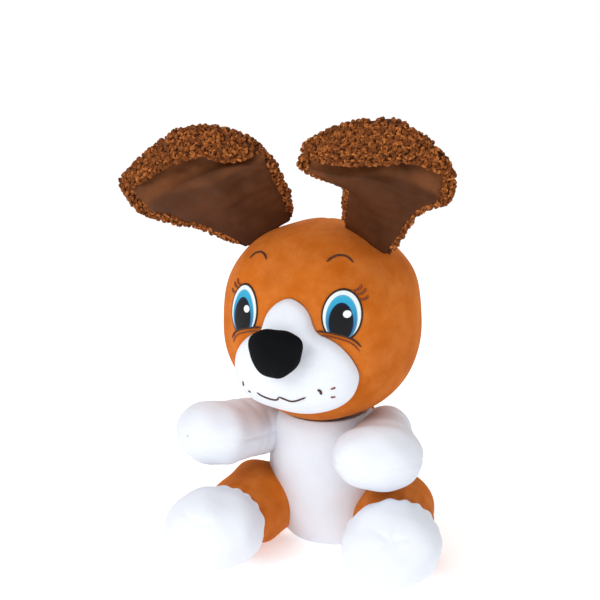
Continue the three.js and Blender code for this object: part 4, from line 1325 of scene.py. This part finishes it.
@dataclass
class Arm:
    """A white arm with its oval paw."""

    side: Side
    paw: tuple
    shoulder: tuple = (43, -8, 88)
    root: float = 20
    middle: float = 23
    half_width: float = 33
    half_height: float = 24
    reach: float = 26

    def limb(self) -> Limb:
        """The arm's shape."""
        start = np.array(self.shoulder, float) * [self.side.value, 1, 1]
        end = np.array(self.paw, float)
        length = float(np.linalg.norm(end - start))
        tip = [
            (length + self.reach * math.sin(math.radians(a)), self.half_width * math.cos(math.radians(a)))
            for a in (0, 25, 47, 68)
        ]
        knots = [
            *ball_back(self.root),
            (0, self.root),
            (length * 0.28, self.middle - 1),
            (length * 0.5, self.middle + 2),
            (length * 0.75, self.half_width - 3),
            *tip,
            (length + self.reach, 0),
        ]
        seed = 21 if self.side is Side.LEFT else 22
        flatten = self.half_height / self.half_width
        return Limb(start, end, tuple(knots), flatten, Lumps(0.8, 34.0, seed))

    def build(self) -> bpy.types.Object:
        """The arm's skin, with a sewn seam along each side and wrinkles behind the paw."""
        limb = self.limb()
        points, away, turn = limb.rings(0.002, 0.998, 110, 96)
        centre = limb.axis_point(away)
        radial = points - centre
        seam = np.exp(-((np.sin(turn) / 0.045) ** 2))
        crease = np.exp(-(((away - limb.length * 0.42) / 2.6) ** 2)) * (0.5 + 0.5 * np.sin(turn * 2 + 1.1))
        second = np.exp(-(((away - limb.length * 0.58) / 3.0) ** 2)) * (0.5 + 0.5 * np.sin(turn * 3 + 2.7))
        grip = 0.9 * seam * smooth_step(-6, 12, away) + 1.1 * crease + 0.8 * second
        grip = grip * smooth_step(2.0, 12.0, np.linalg.norm(radial, axis=-1))
        points = points - unit(radial) * grip[..., None]
        return Maker.tube(f"arm_{self.side.word}_skin", points)

    def dress(self, finish: bpy.types.Material) -> bpy.types.Object:
        """Builds the arm and fastens it to its body."""
        made = self.build()
        made.data.materials.append(finish)
        word = self.side.word
        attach(made, f"arm_{word}")
        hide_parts(f"arm_{word}_cover", f"arm_{word}_filling")
        return made


@dataclass
class Leg:
    """A tan thigh and a white foot that rests on the floor."""

    side: Side
    hip: tuple = (53, -20, 30.5)
    foot: tuple = (66.5, -93, 28.5)
    root: float = 30
    thigh: float = 28
    half_width: float = 35
    half_height: float = 29.6
    reach: float = 30
    seam: float = 26

    def limb(self) -> Limb:
        """The leg's shape."""
        start = np.array(self.hip, float) * [self.side.value, 1, 1]
        end = np.array(self.foot, float) * [self.side.value, 1, 1]
        length = float(np.linalg.norm(end - start))
        wide = self.half_width
        knots = [
            *ball_back(self.root),
            (0, self.root),
            (length * 0.3, self.thigh + 1),
            (length - self.seam - 6, self.thigh),
            (length - self.seam + 6, self.thigh + 3.5),
            (length - 6, wide - 0.6),
            (length + 6, wide - 0.4),
            (length + self.reach * 0.55, wide - 5),
            (length + self.reach * 0.85, wide - 16),
            (length + self.reach, 0),
        ]
        seed = 31 if self.side is Side.LEFT else 32
        return Limb(start, end, tuple(knots), self.half_height / wide, Lumps(0.9, 38.0, seed))

    def seam_share(self, limb: Limb) -> float:
        """Share of the profile's curve at which the thigh meets the foot."""
        places = np.linspace(0, 1, 2000)
        away = spline_weights(len(limb.knots), places) @ np.array(limb.knots, float)[:, 0]
        return float(places[np.argmin(np.abs(away - (limb.length - self.seam)))])

    def shaped(self, limb: Limb, low: float, high: float, rows: int) -> np.ndarray:
        """Rings with the seam's dip and gathers, a dimple over the button, and a flat sole."""
        points, away, turn = limb.rings(low, high, rows, 112)
        radial = unit(points - limb.axis_point(away))
        beyond = away - (limb.length - self.seam)
        dip = 1.7 * np.exp(-((beyond / 2.4) ** 2))
        reach = np.where(np.sin(turn) > 0, 20.0, 9.0) if self.side is Side.LEFT else 8.0
        gathers = 0.8 * np.sin(turn * 15 + 2 * np.sin(turn * 3)) * np.exp(-((beyond / reach) ** 2))
        gathers = gathers * np.where(np.sin(turn) > -0.3, 1.0, 0.4)
        creases = 0.0
        tip = limb.end + limb.along * (self.reach - 6) + np.array([0, 0, 12.0])
        for angle, long in ((0.5, 1.0), (1.9, 0.8), (3.0, 1.0), (-0.7, 0.7)):
            way = limb.sideways * math.cos(angle) + limb.upwards * math.sin(angle)
            off = points - tip
            side = off @ np.cross(limb.along, way)
            ahead = off @ way
            depth = np.exp(-((side / 1.7) ** 2)) * smooth_step(-1, 3, ahead)
            creases = creases + depth * (1 - smooth_step(8 * long, 20 * long, ahead)) * (away > limb.length)
        hollow = np.exp(-(np.linalg.norm(points - tip, axis=-1) / 5.5) ** 2)
        reached = np.linalg.norm(points - limb.axis_point(away), axis=-1)
        slack = (dip - gathers) * smooth_step(2.0, 12.0, reached)
        points = points - radial * slack[..., None]
        points = points - limb.along * (0.9 * creases + 1.6 * hollow)[..., None]
        low_z = points[..., 2]
        points[..., 2] = np.where(low_z < 1.5, 0.15 + 1.35 * np.exp((low_z - 1.5) / 1.35), low_z)
        return points

    def build(self) -> tuple:
        """The thigh's skin and the foot's skin, which meet in the dip of their seam."""
        limb = self.limb()
        seam = self.seam_share(limb)
        thigh = self.shaped(limb, 0.002, seam - 0.001, 64)
        foot = self.shaped(limb, seam + 0.001, 0.998, 76)
        centre = limb.axis_point(np.array([limb.length - self.seam]))[0]
        tuck = [centre + (foot[0] - centre) * s for s in (0.86, 0.95)]
        foot = np.concatenate([np.stack(tuck), foot])
        tuck = [centre + (thigh[-1] - centre) * s for s in (0.95, 0.86)]
        thigh = np.concatenate([thigh, np.stack(tuck)])
        word = self.side.word
        return Maker.tube(f"thigh_{word}_skin", thigh), Maker.tube(f"foot_{word}_skin", foot)

    def dress(self, tan: bpy.types.Material, white: bpy.types.Material) -> list:
        """Builds the leg's two skins and fastens them to its body."""
        thigh, foot = self.build()
        word = self.side.word
        for made, finish, slot, nodes in (
            (thigh, tan, Slot.TAN, [f"thigh_{word}_cover", f"leg_{word}_filling"]),
            (foot, white, Slot.WHITE, [f"foot_{word}_cover"]),
        ):
            made.data.materials.append(finish)
            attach(made, f"leg_{word}")
            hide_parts(*nodes)
        return [thigh, foot]


@dataclass
class Torso:
    """The seated body: a white front, a tan back with its flap, and a short tail."""

    head: HeadShape
    height: float = 117
    lean: float = -20
    half_width: float = 48.5
    depth_share: float = 0.9
    seam: float = 8
    neck_gap: float = 2.4
    flap_half: float = 26
    flap_low: float = 29
    flap_high: float = 89
    outline: tuple = (
        (0, 0), (0.3, 0), (0.5, 0.003), (0.66, 0.02), (0.78, 0.09), (0.89, 0.21), (0.97, 0.36),
        (1, 0.51), (0.98, 0.63), (0.92, 0.75), (0.82, 0.86), (0.64, 0.94), (0.36, 0.99), (0, 1),
    )  # fmt: skip
    lumps: Lumps = Lumps(0.8, 44.0, 41)

    def points(self, turn: np.ndarray, rows: int, grow: float = 0.0) -> np.ndarray:
        """The egg's surface at directions round it, kept below the head that rests on it.

        Args:
            turn: directions round the egg, 0 to the puppy's left and a quarter turn to its back.
            rows: number of rows from the floor to the top.
            grow: how far the surface is moved outwards.

        Returns:
            Rows by directions by 3.
        """
        curve = spline(np.array(self.outline), rows)
        radius = np.clip(curve[:, :1], 0, None) * self.half_width + grow
        z = np.clip(curve[:, 1:], 0, 1) * self.height
        x = radius * np.cos(turn)[None, :]
        y = radius * self.depth_share * np.sin(turn)[None, :]
        z = np.broadcast_to(z, x.shape)
        y = y + self.lean * (z / self.height) ** 1.5
        points = np.stack([x, y, z], -1)
        swell = self.lumps.at(points) * np.clip(z / 8, 0, 1)
        way = unit(np.stack([x, y, np.zeros_like(x)], -1))
        points = points + way * swell[..., None]
        return self.under_head(points)

    def under_head(self, points: np.ndarray) -> np.ndarray:
        """Lowers the points that would stand inside the head."""
        rest = points - self.head.centre
        flat = (np.abs(rest[..., 0]) / self.head.half_width) ** self.head.roundness
        flat = flat + (np.abs(rest[..., 1]) / self.head.half_depth) ** self.head.roundness
        depth = self.head.jaw * np.clip(1 - flat, 0, 1) ** (1 / self.head.roundness)
        floor = self.head.centre[2] - depth - self.neck_gap
        points[..., 2] = np.minimum(points[..., 2], np.where(flat < 1, floor, 1e3))
        return points

    def half(self, name: str, low: float, high: float) -> bpy.types.Object:
        """One half of the cover, from seam to seam, with a dip at both.

        Args:
            name: the piece's name.
            low: direction of its first seam.
            high: direction of its second seam.

        Returns:
            The new object.
        """
        turn = np.linspace(low, high, 110)
        rows = 120
        points = self.points(turn, rows)
        away = np.minimum(turn - low, high - turn) * self.half_width
        dip = 1.6 * np.exp(-((away / 2.6) ** 2))
        inward = unit(points * [1, 1, 0] - [0, 1, 0] * np.array([0, self.lean * 0.4, 0]))
        points = points - inward * dip[None, :, None]
        points[..., 2] = np.maximum(points[..., 2], 0.1)
        quads = grid_quads(rows, len(turn), False)
        flat = points.reshape(-1, 3)
        quads = self.without_flap(flat, quads)
        return Maker.mesh(name, flat, [quads], inside=np.array([0, -6, 55.0]))

    def without_flap(self, points: np.ndarray, quads: np.ndarray) -> np.ndarray:
        """Leaves out the quads of the back that the flap covers."""
        middle = points[quads].mean(1)
        covered = (np.abs(middle[:, 0]) < self.flap_half - 1.5) & (middle[:, 1] > self.seam)
        covered &= (middle[:, 2] > self.flap_low + 1.5) & (middle[:, 2] < self.flap_high - 1.5)
        return quads[~covered]

    def flap(self) -> bpy.types.Object:
        """The flap over the battery box: a rectangle of the back that stands slightly proud."""
        across = np.linspace(-self.flap_half, self.flap_half, 48)
        curve = spline(np.array(self.outline), 900)
        up = np.linspace(self.flap_low, self.flap_high, 52)
        radius = np.interp(up, curve[:, 1] * self.height, curve[:, 0] * self.half_width)[:, None]
        x = np.broadcast_to(across[None, :], (len(up), len(across)))
        z = np.broadcast_to(up[:, None], x.shape)
        y = radius * self.depth_share * np.sqrt(np.clip(1 - (x / radius) ** 2, 0.05, 1))
        y = y + self.lean * (z / self.height) ** 1.5
        points = np.stack([x, y, z], -1)
        way = unit(np.stack([x, y, np.zeros_like(x)], -1))
        edge = np.minimum(self.flap_half - np.abs(x), np.minimum(z - self.flap_low, self.flap_high - z))
        puff = 1.5 * (1 - np.exp(-edge / 3.0)) - 0.9 * np.exp(-(((edge - 4) / 0.9) ** 2)) + 0.6
        points = points + way * (puff + self.lumps.at(points) * 0.4)[..., None]
        quads = grid_quads(len(up), len(across), False)
        made = Maker.mesh("battery_flap", points, [quads], inside=np.array([0, -20, 60.0]))
        return Maker.wall(made, 2.0)

    def tail(self) -> bpy.types.Object:
        """A short round tail: a tube along a bend that narrows to its tip."""
        t = np.linspace(0, 1, 44)[:, None]
        knots = np.array([[0, 33.0, 15], [0, 59, 17], [0, 59, 27]])
        middle = (1 - t) ** 2 * knots[0] + 2 * t * (1 - t) * knots[1] + t**2 * knots[2]
        along = unit(np.gradient(middle, axis=0))
        root_radius, tip_radius = 8.2, 4.7
        rounding = np.sqrt(np.clip(1 - np.clip((t - 0.72) / 0.29, 0, 1) ** 2, 0.003, 1))
        radius = (root_radius + (tip_radius - root_radius) * t) * rounding
        turn = np.linspace(0, 2 * math.pi, 48, endpoint=False)
        side = np.broadcast_to([1.0, 0, 0], middle.shape)
        up = np.cross(side, along)
        rings = middle[:, None] + radius[:, None] * (
            np.cos(turn)[None, :, None] * side[:, None] + np.sin(turn)[None, :, None] * up[:, None]
        )
        rings = rings + unit(rings - middle[:, None]) * Lumps(0.4, 12.0, 43).at(rings)[..., None]
        return Maker.tube("tail_skin", rings)

    def dress(self, white: bpy.types.Material, tan: bpy.types.Material) -> list:
        """Builds the body's covers, flap and tail, and fastens them."""
        start = math.asin(self.seam / (self.half_width * self.depth_share))
        front = Maker.wall(self.half("torso_front_skin", -math.pi - start, start), 2.2)
        back = Maker.wall(self.half("torso_back_skin", start, math.pi - start), 2.2)
        flap, tail = self.flap(), self.tail()
        for made, finish, slot, body, nodes in (
            (front, white, Slot.WHITE, "torso", ["torso_front_cover", "torso_filling"]),
            (back, tan, Slot.TAN, "torso", ["torso_back_cover"]),
            (flap, tan, Slot.TAN, "flap", ["closure_flap"]),
            (tail, tan, Slot.TAN, "torso", ["tail_cover"]),
        ):
            made.data.materials.append(finish)
            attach(made, body)
            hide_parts(*nodes)
        return [front, back, flap, tail]


# ---- mechanism, seen when the covers are opened ------------------------------------------------
@dataclass
class Mechanism:
    """The drive, the power box and the buttons: CAD pieces that keep their shapes."""

    nodes: dict

    def dress(self) -> int:
        """Gives each of them its finish, and returns how many there are."""
        white = Moulded("moulded_white", (206, 205, 198), (160, 158, 150)).material()
        dark = Moulded("moulded_dark", (34, 36, 40), (84, 86, 90)).material()
        nylon = Moulded("gear_nylon", (226, 222, 206), (190, 182, 160), 0.38).material()
        steel = Moulded("bright_steel", (178, 180, 184), (120, 122, 126), 0.28, 1.0).material()
        board = Moulded("circuit_board", (24, 92, 52), (120, 128, 60), 0.4).material()
        cell = Cell().material()
        finishes = (
            ("aa_cell", cell),
            ("case_screw", steel),
            ("lid_screw", steel),
            ("drive_motor", steel),
            ("ear_shaft", steel),
            ("ear_gear", nylon),
            ("drive_pinion", nylon),
            ("sound_board", board),
            ("speaker", dark),
            ("power_switch", dark),
            ("battery", dark),
            ("button", white),
            ("drive_case", white),
        )
        count = 0
        for name, node in self.nodes.items():
            if node.hide_render:
                continue
            chosen = [finish for start, finish in finishes if name.startswith(start)]
            node.data.materials.clear()
            node.data.materials.append(chosen[0] if chosen else white)
            count += 1
        return count


# ---- studio ------------------------------------------------------------------------------------
@dataclass
class Studio:
    """A pale floor, soft lights and the camera."""

    camera_place: tuple = (0.25207, -0.96771, 0.335)
    camera_ahead: tuple = (-0.27466, 0.95024, -0.14699)
    lens: float = 79.2
    surround_strength: float = 0.56
    floor_half: float = 60000

    def floor(self) -> bpy.types.Object:
        """A wide flat pale sheet."""
        side = np.linspace(-self.floor_half, self.floor_half, 9)
        grid = np.stack(np.broadcast_arrays(side[None, :], side[:, None], 0.0), -1)
        made = Maker.mesh("floor", grid, [grid_quads(9, 9, False)], inside=np.array([0, 0, -9e4]))
        s = Shader("pale_floor")
        grain = s.noise(90.0, 3.0, 0.5)
        s.set(
            Base_Color=s.mix(grain * 0.3, (0.93, 0.93, 0.93, 1), (0.9, 0.9, 0.9, 1)),
            Roughness=0.9,
            Specular_IOR_Level=0.0,
            Emission_Color=(1.0, 1.0, 1.0, 1.0),
            Emission_Strength=0.42,
        )
        made.data.materials.append(s.material)
        return made

    @staticmethod
    def lamp(name: str, place: tuple, towards: tuple, size: float, power: float, tint: tuple) -> None:
        """A square soft light, its place and aim in metres."""
        data = bpy.data.lights.new(name, "AREA")
        data.shape = "SQUARE"
        data.size = size
        data.energy = power
        data.color = tint
        lamp = bpy.data.objects.new(name, data)
        bpy.context.scene.collection.objects.link(lamp)
        lamp.location = place
        aim = Vector(towards) - Vector(place)
        lamp.rotation_euler = aim.to_track_quat("-Z", "Y").to_euler()

    def light(self) -> None:
        """Soft daylight, a main light, a fill and one behind, in a surround that shows as white."""
        world = bpy.data.worlds.new("surround")
        world.use_nodes = True
        tree = world.node_tree
        seen = tree.nodes.new("ShaderNodeLightPath")
        shade = tree.nodes.new("ShaderNodeMapRange")
        tree.links.new(seen.outputs["Is Camera Ray"], shade.inputs["Value"])
        shade.inputs["To Min"].default_value = self.surround_strength
        shade.inputs["To Max"].default_value = 1.0
        surround = tree.nodes["Background"]
        surround.inputs["Color"].default_value = (1.0, 1.0, 1.0, 1.0)
        tree.links.new(shade.outputs["Result"], surround.inputs["Strength"])
        bpy.context.scene.world = world
        self.lamp("main", (-0.6, -1.7, 1.0), (0, -0.03, 0.16), 0.7, 12, (1.0, 1.0, 1.0))
        self.lamp("fill", (1.3, -1.1, 0.5), (0, -0.03, 0.1), 1.2, 3, (0.95, 0.97, 1.0))
        self.lamp("behind", (-0.5, 1.2, 1.1), (0, 0, 0.2), 1.0, 5, (1.0, 1.0, 1.0))
        sun = bpy.data.lights.new("daylight", "SUN")
        sun.energy = 0.5
        sun.angle = math.radians(50)
        hung = bpy.data.objects.new("daylight", sun)
        bpy.context.scene.collection.objects.link(hung)
        hung.rotation_euler = Vector((0.3, 0.6, -0.75)).to_track_quat("-Z", "Y").to_euler()
        view = bpy.context.scene.view_settings
        view.view_transform = "Standard"
        view.look = "None"

    def camera(self) -> None:
        """A long lens from slightly to the puppy's left and above it."""
        data = bpy.data.cameras.new("camera")
        data.lens = self.lens
        data.sensor_width = 36
        data.clip_end = 200
        made = bpy.data.objects.new("camera", data)
        bpy.context.scene.collection.objects.link(made)
        made.location = self.camera_place
        made.rotation_euler = Vector(self.camera_ahead).to_track_quat("-Z", "Y").to_euler()
        bpy.context.scene.camera = made


def main() -> None:
    """Builds every piece in order and reports it."""
    logging.basicConfig(level=logging.INFO, format="%(message)s")
    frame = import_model()
    tan = Plush(
        "tan_minky", (202, 106, 26), (160, 76, 8), (228, 142, 74), clouds=15, contrast=0.65
    ).material()
    white = Plush(
        "white_minky", (228, 232, 240), (216, 221, 230), (240, 243, 249), 0.15, contrast=0.35
    ).material()
    black = Plush("black_velour", (9, 11, 14), (4, 5, 7), (18, 21, 25), 0.1).material()
    thread = Thread("dark_brown_thread", (52, 28, 16), (92, 54, 34)).material()
    lash = Thread("lash_thread", (96, 44, 18), (150, 78, 40)).material()
    wool, satin = Lambswool().material(), Satin().material()

    head = HeadShape()
    turn = [j for j in frame["joints"] if j["name"] == "head_turn"][0]["pos_m"]
    head.centre = np.array([turn[0] / MM, turn[1] / MM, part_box("head_cover")[0].z / MM + head.jaw])
    made = [HeadCover(head).dress(tan), MuzzleCover(head).dress(white), Nose(head).dress(black)]
    for side in Side:
        made += Eye(head, side).dress(EyeStitching(), thread, lash)
    made += Stitching(head).dress(thread, lash)
    for side in Side:
        made += Ear(head, side, seed=11 if side is Side.LEFT else 12).dress(wool, satin)
    arms = [Arm(Side.LEFT, (51, -74, 85)), Arm(Side.RIGHT, (-76, -62, 92))]
    legs = [Leg(Side.LEFT), Leg(Side.RIGHT, half_width=37.2, half_height=29.0)]
    made += [arm.dress(white) for arm in arms]
    for leg in legs:
        made += leg.dress(tan, white)
    made += Torso(head).dress(white, tan)
    for piece in made:
        log.info("%s: %d points", piece.name, len(piece.data.vertices))
    log.info("mechanism: %d pieces", Mechanism(frame["nodes"]).dress())

    studio = Studio()
    studio.floor()
    studio.light()
    studio.camera()


if __name__ == "__main__":
    main()
